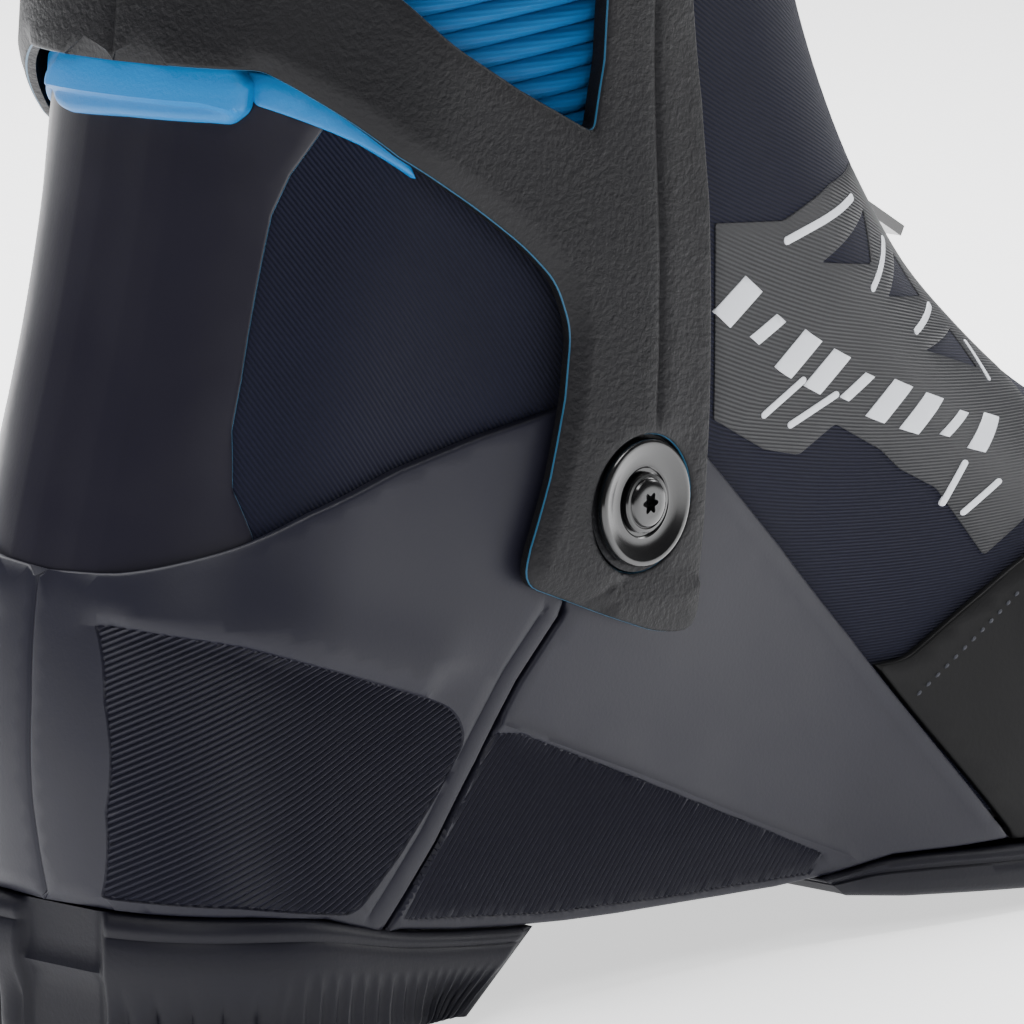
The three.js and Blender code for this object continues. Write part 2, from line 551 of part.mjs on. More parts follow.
// ---- Cuff strap: fixed on the inner side, round the front, through a ring and back on itself ----
const RING = { front: 113, rear: 101, bar: 1.3, room: 0.7, over: 2.5 };
const SHIN_TIP = 400; // further forward than any shin, so a line runs to the middle of the front
const onCuff = CUFF_OUT + 0.8;
const strapOffset = (x) => onCuff - (onCuff + 1.2) * smoothStep((x - 127) / 14);
const strapLine = (z) => [...sideLine(z, 1, 82, SHIN_TIP, strapOffset, 9),
  ...sideLine(z, -1, RING.front, SHIN_TIP, strapOffset, 8).reverse().slice(1)];
const keeperLine = (z) => sideLine(z, -1, 82, RING.rear, () => onCuff, 4);
const edges = [STRAP.low, STRAP.high];
const [strapLower, strapUpper] = edges.map(strapLine);
const [keeperLower, keeperUpper] = edges.map(keeperLine);
const nearest = Math.min(...[strapLower, strapUpper, keeperLower, keeperUpper].map((line) => line.at(-1).y));
const ringY = nearest - STRAP.thick - RING.room - RING.bar;
const roundFront = (line) =>
  [...line.slice(0, -1), ...arc(RING.front, ringY, line.at(-1).y - ringY, 90, 270, 6)];
piece("cuff_strap", "webbing", band(roundFront(strapLower), roundFront(strapUpper), ...edges, STRAP.thick)
  .subtract(rivetBore(1)));

const STRAP_END = { from: 119, to: 140 };
const endOffset = (x) => strapOffset(x) + STRAP.thick + 0.8 + 3.2 * (1 - smoothStep((x - RING.front) / 14));
const endLine = (z) => sideLine(z, -1, STRAP_END.from, STRAP_END.to, endOffset, 5).reverse();
piece("strap_end", "webbing", band(...edges.map(endLine), ...edges, STRAP.thick));

const keeperOffset = (x) => onCuff + 2 * STRAP.thick + 0.4 + 4.2 * smoothStep((x - 93.5) / 6);
const roundRear = (z, line) => [...sideLine(z, -1, 82, RING.rear - 1, keeperOffset, 6),
  ...arc(RING.rear, ringY, line.at(-1).y - ringY, 270, 450, 6), ...line.slice(0, -1).reverse()];
const keeperEdges = [roundRear(STRAP.low, keeperLower), roundRear(STRAP.high, keeperUpper)];
piece("ring_keeper", "webbing", band(...keeperEdges, ...edges, STRAP.thick).subtract(rivetBore(-1)));

const ringShape = (reach) => region([
  [RING.rear - reach, STRAP.low - RING.over - reach, 3],
  [RING.front + reach, STRAP.low - RING.over - reach, 3],
  [RING.front + reach, STRAP.high + RING.over + reach, 3],
  [RING.rear - reach, STRAP.high + RING.over + reach, 3],
], ringY - RING.bar, ringY + RING.bar);
piece("strap_ring", "steel", ringShape(RING.bar).subtract(region([
  [RING.rear + RING.bar, STRAP.low - RING.over + RING.bar, 1],
  [RING.front - RING.bar, STRAP.low - RING.over + RING.bar, 1],
  [RING.front - RING.bar, STRAP.high + RING.over - RING.bar, 1],
  [RING.rear + RING.bar, STRAP.high + RING.over - RING.bar, 1],
])));

function rivet(side, webbing) {
  const surface = halfWidth(RIVETS.x, RIVETS.z);
  const inside = surface + CUFF_IN - 0.4;
  const outside = surface + onCuff + webbing + 0.4;
  const profile = [
    [0, inside - 1], [4, inside - 1], [4, inside], [2.2, inside], [2.2, outside], [RIVETS.head, outside],
    [RIVETS.head - 0.8, outside + 1.3], [0, outside + 1.8],
  ];
  const lathe = new THREE.LatheGeometry(profile.map(([r, s]) => new THREE.Vector2(r, s)), 16);
  return solid((side < 0 ? lathe.rotateX(Math.PI) : lathe).translate(RIVETS.x, 0, RIVETS.z));
}
piece("strap_rivet", "blackMetal", rivet(1, STRAP.thick));
piece("keeper_rivet", "blackMetal", rivet(-1, 2 * STRAP.thick + 0.4));

// ---- Pull loop on the back of the collar ----
const LOOP = { width: 22, web: 4.5, thick: 1.6, low: 199, high: 226 };
const loopShape = new THREE.Shape();
const loopOuter = LOOP.width / 2;
const loopInner = loopOuter - LOOP.web;
const loopLeg = LOOP.high - LOOP.low - loopOuter;
loopShape.moveTo(loopOuter, 0).lineTo(loopOuter, loopLeg).absarc(0, loopLeg, loopOuter, 0, Math.PI, false);
loopShape.lineTo(-loopOuter, 0).lineTo(-loopInner, 0).lineTo(-loopInner, loopLeg);
loopShape.absarc(0, loopLeg, loopInner, Math.PI, 0, true).lineTo(loopInner, 0).closePath();
const collarLean = Math.atan2(backX(LOOP.low) - backX(TOP), TOP - LOOP.low);
const loopSolid = { depth: LOOP.thick, bevelEnabled: false, curveSegments: 8 };
piece("pull_loop", "webbing", solid(new THREE.ExtrudeGeometry(loopShape, loopSolid)
  .rotateX(Math.PI / 2).rotateZ(Math.PI / 2).translate(-LOOP.thick / 2, 0, 0).rotateY(-collarLean)
  .translate(backX(LOOP.low) - 2.9, 0, LOOP.low)));

// ---- Zip slider and its puller, in a frame of their own ----
// u runs down the instep, v to the inner side and w away from the foot
const onInstep = (z) => {
  const [x] = instepLine.reduce((best, p) => (Math.abs(p[1] - z) < Math.abs(best[1] - z) ? p : best));
  return new THREE.Vector3(x, centreY(x), z);
};
const ZIP = { high: 119, low: 96, length: 9.5, above: -1.25 };
const zipTop = onInstep(ZIP.high);
const u = onInstep(ZIP.low).sub(zipTop);
const zipTravel = u.length() - ZIP.length;
u.normalize();
const w = new THREE.Vector3(-u.z, 0, u.x).normalize();
const v = new THREE.Vector3().crossVectors(w, u);
const zipFrame = new THREE.Matrix4().makeBasis(u, v, w)
  .setPosition(zipTop.clone().addScaledVector(w, ZIP.above));
const localBox = (u0, u1, v0, v1, w0, w1) => new THREE.BoxGeometry(u1 - u0, v1 - v0, w1 - w0)
  .translate((u0 + u1) / 2, (v0 + v1) / 2, (w0 + w1) / 2);
const HINGE = { u: 7.2, w: 3.9 };
const crossPin = (radius, length) =>
  new THREE.CylinderGeometry(radius, radius, length, 12).translate(HINGE.u, 0, HINGE.w);
const inZip = (geometry) => solid(geometry.applyMatrix4(zipFrame));
piece("zip_slider", "blackMetal", inZip(localBox(0, ZIP.length, -3.2, 3.2, 0, 2.2))
  .add(inZip(localBox(HINGE.u - 1.9, HINGE.u + 1.7, -1, 1, 2, 5.3)))
  .subtract(inZip(crossPin(1.15, 8))));
const PULLER = { lift: 15, length: 21, half: 3 };
const inPuller = (geometry) => inZip(geometry.translate(-HINGE.u, 0, -HINGE.w)
  .rotateY(-THREE.MathUtils.degToRad(PULLER.lift)).translate(HINGE.u, 0, HINGE.w));
const arm = (v0) =>
  inPuller(localBox(HINGE.u - 0.9, HINGE.u + 4.5, v0, v0 + 1, HINGE.w - 0.9, HINGE.w + 0.9));
piece("zip_puller", "blackMetal", join([
  inPuller(crossPin(0.8, 4.4)), arm(1.3), arm(-2.3),
  inPuller(localBox(HINGE.u + 3.6, HINGE.u + PULLER.length, -PULLER.half, PULLER.half,
    HINGE.w - 0.9, HINGE.w + 0.9)),
]));

// ---- Lacing under the cover: one lace between pegs, one end held at the toe and the other in a lock ----
const LACE = { radius: 0.6, depth: -5.6, rows: 6, low: 90.5, high: 122.5, half: 9.5 };
const DROP = 0.35; // fall of the instep to the sides, per millimetre from the middle
function inside(t, across, depth) {
  const z = LACE.low + (LACE.high - LACE.low) * t;
  const p = onInstep(z);
  const a = onInstep(z + 2);
  const b = onInstep(z - 2);
  const normal = new THREE.Vector3(a.z - b.z, 0, b.x - a.x).normalize();
  return p.addScaledVector(normal, depth - DROP * Math.abs(across)).add(new THREE.Vector3(0, across, 0));
}
const lacePoints = [inside(0, 6, LACE.depth)];
for (let row = 0; row < LACE.rows; row++) {
  const t = row / (LACE.rows - 1);
  const to = row % 2 ? 1 : -1;
  lacePoints.push(inside(t, -to * 5, LACE.depth), inside(t, to * LACE.half, LACE.depth));
  if (row < LACE.rows - 1)
    lacePoints.push(inside(t + 0.5 / (LACE.rows - 1), to * (LACE.half + 3.4), LACE.depth));
}
const lacePath = new THREE.CatmullRomCurve3(lacePoints, false, "centripetal");
const laceSection = new THREE.Shape(Array.from({ length: 5 }, (_, i) => {
  const angle = (2 * Math.PI * i) / 5;
  return new THREE.Vector2(LACE.radius * Math.cos(angle), LACE.radius * Math.sin(angle));
}));
piece("lace", "webbing", solid(new THREE.ExtrudeGeometry(laceSection, { steps: 44, extrudePath: lacePath })));
for (const [name, to] of [["lateral", -1], ["medial", 1]]) {
  const strip = wall(LINING_OUT, LINING_OUT - 1.1, FOOT, coverArea)
    .intersect(to < 0 ? along(-15.6, -10.5) : along(10.5, 15.6))
    .intersect(region([[100, 86], [240, 86], [240, 125], [100, 125]]));
  const pegs = [];
  for (let row = 0; row < LACE.rows - 1; row++) {
    if ((row % 2 ? 1 : -1) !== to) continue;
    const t = (row + 0.5) / (LACE.rows - 1);
    const foot = inside(t, to * (LACE.half + 1), LINING_OUT + 1);
    const tip = inside(t, to * (LACE.half + 1), LINING_OUT - 3);
    const peg = new THREE.CylinderGeometry(0.9, 0.9, foot.distanceTo(tip), 8);
    const lean = tip.clone().sub(foot).normalize();
    peg.applyQuaternion(new THREE.Quaternion().setFromUnitVectors(new THREE.Vector3(0, 1, 0), lean));
    pegs.push(solid(peg.translate(...foot.add(tip).divideScalar(2))));
  }
  piece(`lace_guide_${name}`, "webbing", largest(join([strip, ...pegs]).intersect(body(LINING_OUT))));
}

// The origin is the middle of the boot's footprint, on the ground
const size = new THREE.Box3().setFromObject(group);
group.position.set(-(size.min.x + size.max.x) / 2, -(size.min.y + size.max.y) / 2, 0);
const boot = new THREE.Group();
boot.add(group);
export default boot;
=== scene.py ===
"""A cuffed cross country ski boot for the right foot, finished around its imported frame.

Lengths in the tables below are millimetres, in the boot's own drawing frame: x runs forward from the back of
the heel, y to the inner (medial) side, z up from the ground. `place` turns them into the frame's metres.
"""
import json
import math

import bmesh
import bpy
import numpy as np
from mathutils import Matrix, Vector
from mathutils.geometry import delaunay_2d_cdt


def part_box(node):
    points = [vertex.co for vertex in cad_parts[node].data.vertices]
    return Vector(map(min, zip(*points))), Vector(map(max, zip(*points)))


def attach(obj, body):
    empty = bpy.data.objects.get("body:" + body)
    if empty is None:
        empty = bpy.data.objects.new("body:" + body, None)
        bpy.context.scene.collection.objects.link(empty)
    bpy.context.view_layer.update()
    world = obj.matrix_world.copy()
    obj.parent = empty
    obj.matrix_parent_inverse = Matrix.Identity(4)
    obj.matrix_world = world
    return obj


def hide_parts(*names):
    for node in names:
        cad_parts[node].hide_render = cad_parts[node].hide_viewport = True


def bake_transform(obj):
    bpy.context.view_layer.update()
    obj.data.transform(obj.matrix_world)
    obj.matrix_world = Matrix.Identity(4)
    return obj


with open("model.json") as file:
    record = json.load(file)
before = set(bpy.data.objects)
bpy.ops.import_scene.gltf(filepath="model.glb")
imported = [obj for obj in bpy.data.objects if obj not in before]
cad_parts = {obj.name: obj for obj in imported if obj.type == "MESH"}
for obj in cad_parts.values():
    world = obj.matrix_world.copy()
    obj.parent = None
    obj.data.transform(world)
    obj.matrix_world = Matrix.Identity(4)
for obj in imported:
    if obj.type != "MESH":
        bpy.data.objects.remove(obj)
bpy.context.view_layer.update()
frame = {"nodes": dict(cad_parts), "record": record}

bl_info = {
    "name": "Cross Country Boot",
    "version": (1, 0, 0),
    "blender": (4, 5, 0),
    "location": "View3D > Sidebar > Boot",
    "description": "Builds the shells, soft goods, sole and hardware of a cuffed cross country ski boot",
    "category": "Object",
}

MM = 0.001
PIVOT = np.array([88.0, 0.0, 80.0])  # the ankle axis in the drawing frame
JOINTS = {joint["name"]: joint for joint in frame["record"]["behaviour"]["joints"]}
ORIGIN = np.array(JOINTS["cuff_flex"]["pos_m"]) - PIVOT * MM  # the drawing frame's origin, in metres

# ---- The surface of the moulded chassis, which every wall of the boot follows at its own depth ----
LENGTH = 300
TOP = 212
BACK = [(0, 9), (20, 3.5), (35, 0.8), (50, 0), (68, 2), (90, 8), (110, 14), (130, 19), (150, 22.5), (170, 24),
        (190, 22), (215, 16)]  # height, x down the back of the heel
INSTEP = [(138, 225), (141, 210), (145, 190), (150, 172), (157, 152), (167, 132), (180, 114), (194, 101),
          (210, 89), (230, 78), (252, 68), (272, 57), (288, 44), (297, 31), (LENGTH, 20), (LENGTH, 0)]
SOLE = [(0, 24), (25, 22.5), (48, 17), (78, 13), (110, 11), (142, 10), (156, 12), (185, 10.8), (230, 9),
        (262, 11), (285, 15), (LENGTH, 20)]  # the chassis's lower edge
HEIGHTS = [0, 22, 45, 80, 115, 150, 215]
WIDTHS = [
    (0, (30, 33, 33, 32, 31, 32, 36)),
    (40, (31, 34, 34.5, 36, 36, 36.5, 39)),
    (88, (31.5, 34.5, 37, 41.5, 41, 39.5, 41)),
    (140, (32, 36, 38.5, 41, 40, 38, 40)),
    (180, (41, 44, 44.5, 42, 38, 36, 38)),
    (215, (46, 49, 49, 43, 38, 36, 38)),
    (255, (45, 48, 47.5, 42, 38, 36, 38)),
    (300, (38, 40, 40, 38, 38, 36, 38)),
]  # half widths of each station, one for each height
HEEL_ROUND = (31, 2.3)  # how far in the wall reaches its full width, and how squarely
INSTEP_ROUND = (34, 2.1)
TOE_SWING = 6
LATERAL, MEDIAL = -1, 1
SIDES = ((LATERAL, "lateral"), (MEDIAL, "medial"))

# Depths of the layers under (negative) and over the chassis surface
CHASSIS_IN = -1.9
SKIN_OUT, SKIN_IN = -2.2, -3.6
LINING_OUT, LINING_IN = -3.9, -6.2
CUFF_IN, CUFF_OUT = 1.4, 4.4


def smooth(knots, values, t):
    """Smooth curve through the values at the knots. values may hold a row of numbers for each knot."""
    knots = np.asarray(knots, float)
    values = np.asarray(values, float)
    t = np.clip(np.asarray(t, float), knots[0], knots[-1])
    i = np.clip(np.searchsorted(knots, t, side="right") - 1, 0, len(knots) - 2)
    before = np.maximum(np.arange(len(knots)) - 1, 0)
    after = np.minimum(np.arange(len(knots)) + 1, len(knots) - 1)
    run = knots[after] - knots[before]
    slopes = ((values[after] - values[before]).T / run).T
    h = knots[i + 1] - knots[i]
    u = (t - knots[i]) / h
    if values.ndim == 1:
        a, b, slope_a, slope_b = values[i], values[i + 1], slopes[i], slopes[i + 1]
    else:
        n = np.arange(t.size)
        a, b, slope_a, slope_b = values[i, n], values[i + 1, n], slopes[i, n], slopes[i + 1, n]
    return ((1 + 2 * u) * (1 - u) ** 2 * a + u * (1 - u) ** 2 * h * slope_a
            + u * u * (3 - 2 * u) * b + u * u * (u - 1) * h * slope_b)


def through(pairs, t):
    knots, values = zip(*pairs)
    return smooth(knots, values, t)


def back_x(z):
    return through(BACK, z)


def sole_z(x):
    return through(SOLE, x)


def ease(u):
    u = np.clip(u, 0, 1)
    return u * u * (3 - 2 * u)


def centre_y(x):
    return TOE_SWING * ease((np.asarray(x, float) - 130) / 150)


def instep_curve():
    steps = np.hypot(*np.diff(np.array(INSTEP), axis=0).T)
    lengths = np.concatenate([[0], np.cumsum(steps)])
    t = np.linspace(0, lengths[-1], 201)
    return np.stack([smooth(lengths, [p[0] for p in INSTEP], t),
                    smooth(lengths, [p[1] for p in INSTEP], t)], 1)


INSTEP_LINE = instep_curve()


def inside_instep(x, z):
    """How far side-view points lie inside the instep line; negative outside."""
    a, b = INSTEP_LINE[:-1], INSTEP_LINE[1:]
    d = b - a
    px = x[:, None] - a[None, :, 0]
    pz = z[:, None] - a[None, :, 1]
    u = np.clip((px * d[:, 0] + pz * d[:, 1]) / (d ** 2).sum(1), 0, 1)
    distance = np.hypot(px - u * d[:, 0], pz - u * d[:, 1])
    k = distance.argmin(1)
    n = np.arange(len(x))
    side = np.where(d[k, 0] * pz[n, k] - d[k, 1] * px[n, k] < 0, 1, -1)
    return distance[n, k] * side


def half_width(x, z):
    """Half width of the chassis surface at side-view points."""
    shape = np.shape(x)
    x, z = np.ravel(x).astype(float), np.ravel(z).astype(float)
    rows = np.stack([smooth(HEIGHTS, widths, z) for _, widths in WIDTHS])
    full = smooth([at for at, _ in WIDTHS], rows, x)

    def rounding(depth, reach, power):
        u = np.clip(depth / reach, 0, 1)
        return (1 - (1 - u) ** power) ** (1 / power)

    width = full * rounding(x - back_x(z), *HEEL_ROUND) * rounding(inside_instep(x, z), *INSTEP_ROUND)
    return width.reshape(shape)


def place(points):
    """Drawing millimetres to the frame's metres."""
    return np.asarray(points, float) * MM + ORIGIN


# ---- Charts: two flat maps of the surface, in millimetres ----
# The ring map's p is the way round a level section from the middle of the back, positive to the inner side,
# and its q is the height. The hoop map's p is the way down the instep line and its q the way round the foot
# from that line, positive to the inner side.
class Chart:
    def __init__(self, sections, first, pitch):
        """sections hold one [x, |y|, z] row for each millimetre round the surface, one section each pitch."""
        self.table = sections
        self.first = first
        self.pitch = pitch

    def point(self, p, q):
        along, around = self.order(p, q)
        i = np.clip((along - self.first) / self.pitch, 0, len(self.table) - 1.001)
        j = np.clip(np.abs(around), 0, self.table.shape[1] - 1.001)
        i0, j0 = i.astype(int), j.astype(int)
        u, v = (i - i0)[:, None], (j - j0)[:, None]
        t = self.table
        at = ((t[i0, j0] * (1 - u) + t[i0 + 1, j0] * u) * (1 - v)
              + (t[i0, j0 + 1] * (1 - u) + t[i0 + 1, j0 + 1] * u) * v)
        at[:, 1] = centre_y(at[:, 0]) + np.sign(around) * at[:, 1]
        return at

    def normal(self, p, q):
        step = 1.5
        across = self.point(p + step, q) - self.point(p - step, q)
        up = self.point(p, q + step) - self.point(p, q - step)
        n = np.cross(across, up) * self.hand
        return n / np.maximum(np.linalg.norm(n, axis=1, keepdims=True), 1e-9)


class Ring(Chart):
    hand = -1

    def order(self, p, q):
        return q, p

    def __init__(self):
        heights = np.arange(0, 222.0, 1.0)
        reach = 300
        fronts = np.interp(heights, INSTEP_LINE[::-1, 1], INSTEP_LINE[::-1, 0])
        table = []
        for z, front in zip(heights, fronts):
            rear = back_x(z)
            x = rear + (front - rear) * (1 - np.cos(np.linspace(0, math.pi, 261))) / 2
            y = half_width(x, np.full_like(x, z))
            length = np.concatenate([[0], np.cumsum(np.hypot(np.diff(x), np.diff(y)))])
            s = np.arange(0, reach + 1.0)
            table.append(np.stack([np.interp(s, length, x), np.interp(s, length, y), np.full_like(s, z)], 1))
        super().__init__(np.array(table), heights[0], 1.0)

    def at_side(self, x, z, side):
        """Map place of side-view points on one side."""
        x, z = np.atleast_1d(x).astype(float), np.atleast_1d(z).astype(float)
        rows = np.clip(z, 0, len(self.table) - 1.001)
        i = rows.astype(int)
        u = rows - i
        s = []
        for xx, ii, uu in zip(x, i, u):
            row = self.table[ii, :, 0] * (1 - uu) + self.table[ii + 1, :, 0] * uu
            s.append(np.interp(xx, row, np.arange(len(row))))
        return np.stack([side * np.array(s), z], 1)


class Hoop(Chart):
    hand = 1

    def order(self, p, q):
        return p, q

    def __init__(self):
        ridge = INSTEP_LINE[(INSTEP_LINE[:, 1] <= TOP + 9) & (INSTEP_LINE[:, 1] >= 20)]
        run = np.concatenate([[0], np.cumsum(np.hypot(*np.diff(ridge, axis=0).T))])
        self.length = run[-1]
        p = np.arange(0, self.length, 1.0)
        self.inner = np.stack([np.interp(p, run, ridge[:, 0]), np.interp(p, run, ridge[:, 1])], 1)
        heel = float(sole_z(0))
        share = 14 / 36  # of the stations end on the back, the others on the sole
        t = p / self.length
        z_back = TOP + 9 + (heel - TOP - 9) * np.clip(t / share, 0, 1)
        x_sole = float(back_x(heel)) + (LENGTH - float(back_x(heel))) * \
                       np.clip((t - share) / (1 - share), 0, 1)
        on_back = (t < share)[:, None]
        self.outer = np.where(on_back, np.stack(
            [back_x(z_back), z_back], 1), np.stack([x_sole, sole_z(x_sole)], 1))
        c = (1 - np.cos(np.linspace(0, math.pi, 141))) / 2
        table = []
        self.rounds = []
        for a, b in zip(self.inner, self.outer):
            x = a[0] + (b[0] - a[0]) * c
            z = a[1] + (b[1] - a[1]) * c
            y = half_width(x, z)
            length = np.concatenate(
                [[0], np.cumsum(np.sqrt(np.diff(x) ** 2 + np.diff(y) ** 2 + np.diff(z) ** 2))])
            self.rounds.append((c, length))
            s = np.arange(0, 250.0)
            table.append(np.stack([np.interp(s, length, x), np.interp(
                s, length, y), np.interp(s, length, z)], 1))
        super().__init__(np.array(table), 0.0, 1.0)

    def at_side(self, x, z, side):
        found = []
        chord = self.outer - self.inner
        for xx, zz in zip(np.atleast_1d(x).astype(float), np.atleast_1d(z).astype(float)):
            off = np.array([xx, zz]) - self.inner
            cross = chord[:, 0] * off[:, 1] - chord[:, 1] * off[:, 0]
            share = (chord * off).sum(1) / np.maximum((chord ** 2).sum(1), 1e-9)
            crossing = np.nonzero((np.sign(cross[:-1]) != np.sign(cross[1:]))
                                  & (share[:-1] > -0.2) & (share[:-1] < 1.2))[0]
            k = crossing[0] if len(crossing) else int(np.abs(cross).argmin())
            k = min(k, len(cross) - 2)
            u = cross[k] / (cross[k] - cross[k + 1]) if cross[k] != cross[k + 1] else 0
            c = np.clip(share[k] * (1 - u) + share[k + 1] * u, 0, 1)
            s = np.interp(c, *self.rounds[k]) * (1 - u) + np.interp(c, *self.rounds[k + 1]) * u
            found.append((k + u, side * s))
        return np.array(found)

    def across(self, p, y):
        """How far round from the instep line a point is that lies y to the side of it."""
        row = self.table[int(np.clip(p, 0, len(self.table) - 1)), :70, 1]
        return float(np.sign(y) * np.interp(abs(y), row, np.arange(len(row))))


RING = Ring()
HOOP = Hoop()


# ---- Outlines on the maps ----
def corners(points, closed=True, step=1.2):
    """Line through [x, z] or [x, z, corner radius] points, with a point at least every step."""
    places = [np.array(p[:2], float) for p in points]
    radii = [p[2] if len(p) > 2 else 0 for p in points]
    line = []
    for i, (here, radius) in enumerate(zip(places, radii)):
        if radius == 0 or (not closed and i in (0, len(places) - 1)):
            line.append(here)
            continue
        before, after = places[i - 1] - here, places[(i + 1) % len(places)] - here
        start = here + before / np.linalg.norm(before) * radius
        end = here + after / np.linalg.norm(after) * radius
        for t in np.linspace(0, 1, 6):
            line.append((1 - t) ** 2 * start + 2 * t * (1 - t) * here + t * t * end)
    fine = []
    pairs = list(zip(line, line[1:] + line[:1])) if closed else list(zip(line, line[1:]))
    for a, b in pairs:
        count = max(1, math.ceil(np.linalg.norm(b - a) / step))
        fine += [a + (b - a) * k / count for k in range(count)]
    if not closed:
        fine.append(line[-1])
    return np.array(fine)


def on_map(chart, line, side, depth=0.0):
    """Map places of side-view points that lie on the layer at that depth."""
    x, z = line[:, 0], line[:, 1]
    found = chart.at_side(x, z, side)
    for _ in range(2 if depth else 0):
        n = chart.normal(found[:, 0], found[:, 1])
        found = chart.at_side(np.maximum(x - n[:, 0] * depth, back_x(z) + 0.01), z - n[:, 2] * depth, side)
    return found


def side_loop(chart, points, side, depth=0.0, step=1.2):
    return on_map(chart, corners(points, step=step), side, depth)


def wrap_loop(chart, half, depth=0.0, step=1.2):
    """Loop symmetric about p = 0 from its outer half, which starts and ends on the middle of the back."""
    line = on_map(chart, corners(half, closed=False, step=step), LATERAL, depth)
    line[0, 0] = line[-1, 0] = 0
    return np.concatenate([line, (line[::-1] * [-1, 1])[1:-1]])


def edge_distance(points, loops):
    """How far points are from the loops' lines, and whether they are inside them."""
    a = np.concatenate(loops)
    b = np.concatenate([np.roll(loop, -1, axis=0) for loop in loops])
    d = b - a
    length = np.maximum((d ** 2).sum(1), 1e-12)
    distance = np.empty(len(points))
    inside = np.empty(len(points), bool)
    for k in range(0, len(points), 2000):
        off = points[k:k + 2000, None, :] - a[None]
        u = np.clip((off * d).sum(2) / length, 0, 1)
        distance[k:k + 2000] = np.sqrt(((off - u[..., None] * d) ** 2).sum(2)).min(1)
        y = points[k:k + 2000, 1][:, None]
        crosses = (a[None, :, 1] > y) != (b[None, :, 1] > y)
        rise = np.where(np.abs(d[:, 1]) < 1e-12, 1e-12, d[:, 1])
        x_at = a[None, :, 0] + (y - a[None, :, 1]) / rise * d[None, :, 0]
        inside[k:k + 2000] = (crosses & (points[k:k + 2000, 0][:, None] < x_at)).sum(1) % 2 == 1
    return distance, inside


def inset(loop, amount):
    """The loop moved towards its inside."""
    forward = np.roll(loop, -1, axis=0) - np.roll(loop, 1, axis=0)
    n = np.stack([-forward[:, 1], forward[:, 0]], 1)
    n /= np.maximum(np.linalg.norm(n, axis=1, keepdims=True), 1e-9)
    x, y = loop.T
    area = (x * np.roll(y, -1) - np.roll(x, -1) * y).sum()
    return loop + n * amount * np.sign(area)


def hex_grid(low, high, pitch):
    rows = []
    for i, q in enumerate(np.arange(low[1], high[1], pitch * 0.87)):
        p = np.arange(low[0] + (pitch / 2 if i % 2 else 0), high[0], pitch)
        rows.append(np.stack([p, np.full_like(p, q)], 1))
    return np.concatenate(rows)


class Ribs:
    """A field of fine parallel ribs inside a loop, sunk below the surface round it."""

    def __init__(self, loop, angle, pitch=0.9, height=0.4, sink=0.5, border=0.7):
        self.loops = [loop]
        self.angle, self.pitch, self.height, self.sink, self.border = math.radians(
            angle), pitch, height, sink, border
        self.across = np.array([-math.sin(self.angle), math.cos(self.angle)])
        self.along = np.array([math.cos(self.angle), math.sin(self.angle)])

    def chains(self):
        """Lines of places along the ribs, four to each rib, that end just inside the loop."""
        loop = self.loops[0]
        u, v = loop @ self.along, loop @ self.across
        run = np.arange(u.min(), u.max(), 0.25)
        found = []
        for line in np.arange(math.floor(v.min() / self.pitch) * self.pitch, v.max(), self.pitch / 4):
            places = run[:, None] * self.along + line * self.across
            distance, inside = edge_distance(places, self.loops)
            marks = np.concatenate([[0], (inside & (distance > 0.42)).astype(int), [0]])
            for start, end in zip(np.nonzero(np.diff(marks) == 1)[
                                  0], np.nonzero(np.diff(marks) == -1)[0] - 1):
                if end - start > 1:
                    count = max(2, round((end - start) * 0.25 / 2.2) + 1)
                    at = np.linspace(run[start], run[end], count)
                    found.append(at[:, None] * self.along + line * self.across)
        return found

    def relief(self, places):
        distance, inside = edge_distance(places, self.loops)
        depth = np.where(inside, distance, 0)
        phase = (places @ self.across / self.pitch) % 1
        wave = np.sin(math.pi * phase) ** 1.3
        return (self.height * wave * np.clip((depth - 0.1) / 0.3, 0, 1)
                - self.sink * ease(depth / (self.border * 0.4)))


def material_list(obj, names):
    for name in names:
        obj.data.materials.append(MATERIALS[name])


def new_mesh(name, verts, faces, uvs=None):
    mesh = bpy.data.meshes.new(name)
    mesh.from_pydata([tuple(v) for v in verts], [], [tuple(int(i) for i in f) for f in faces])
    if uvs is not None:
        layer = mesh.uv_layers.new(name="map")
        index = np.empty(len(mesh.loops), int)
        mesh.loops.foreach_get("vertex_index", index)
        layer.data.foreach_set("uv", np.asarray(uvs, np.float32)[index].ravel())
    obj = bpy.data.objects.new(name, mesh)
    bpy.context.collection.objects.link(obj)
    return obj


def clean(obj, smooth_angle=35, doubles=1e-6):
    """Merges doubled vertices, turns the faces outward and shades the mesh smooth up to an angle."""
    edit = bmesh.new()
    edit.from_mesh(obj.data)
    bmesh.ops.remove_doubles(edit, verts=edit.verts, dist=doubles)
    bmesh.ops.recalc_face_normals(edit, faces=edit.faces)
    edit.to_mesh(obj.data)
    edit.free()
    select_only(obj)
    bpy.ops.object.shade_smooth_by_angle(angle=math.radians(smooth_angle))
    return obj


def select_only(obj):
    bpy.ops.object.select_all(action="DESELECT")
    bpy.context.view_layer.objects.active = obj
    obj.select_set(True)


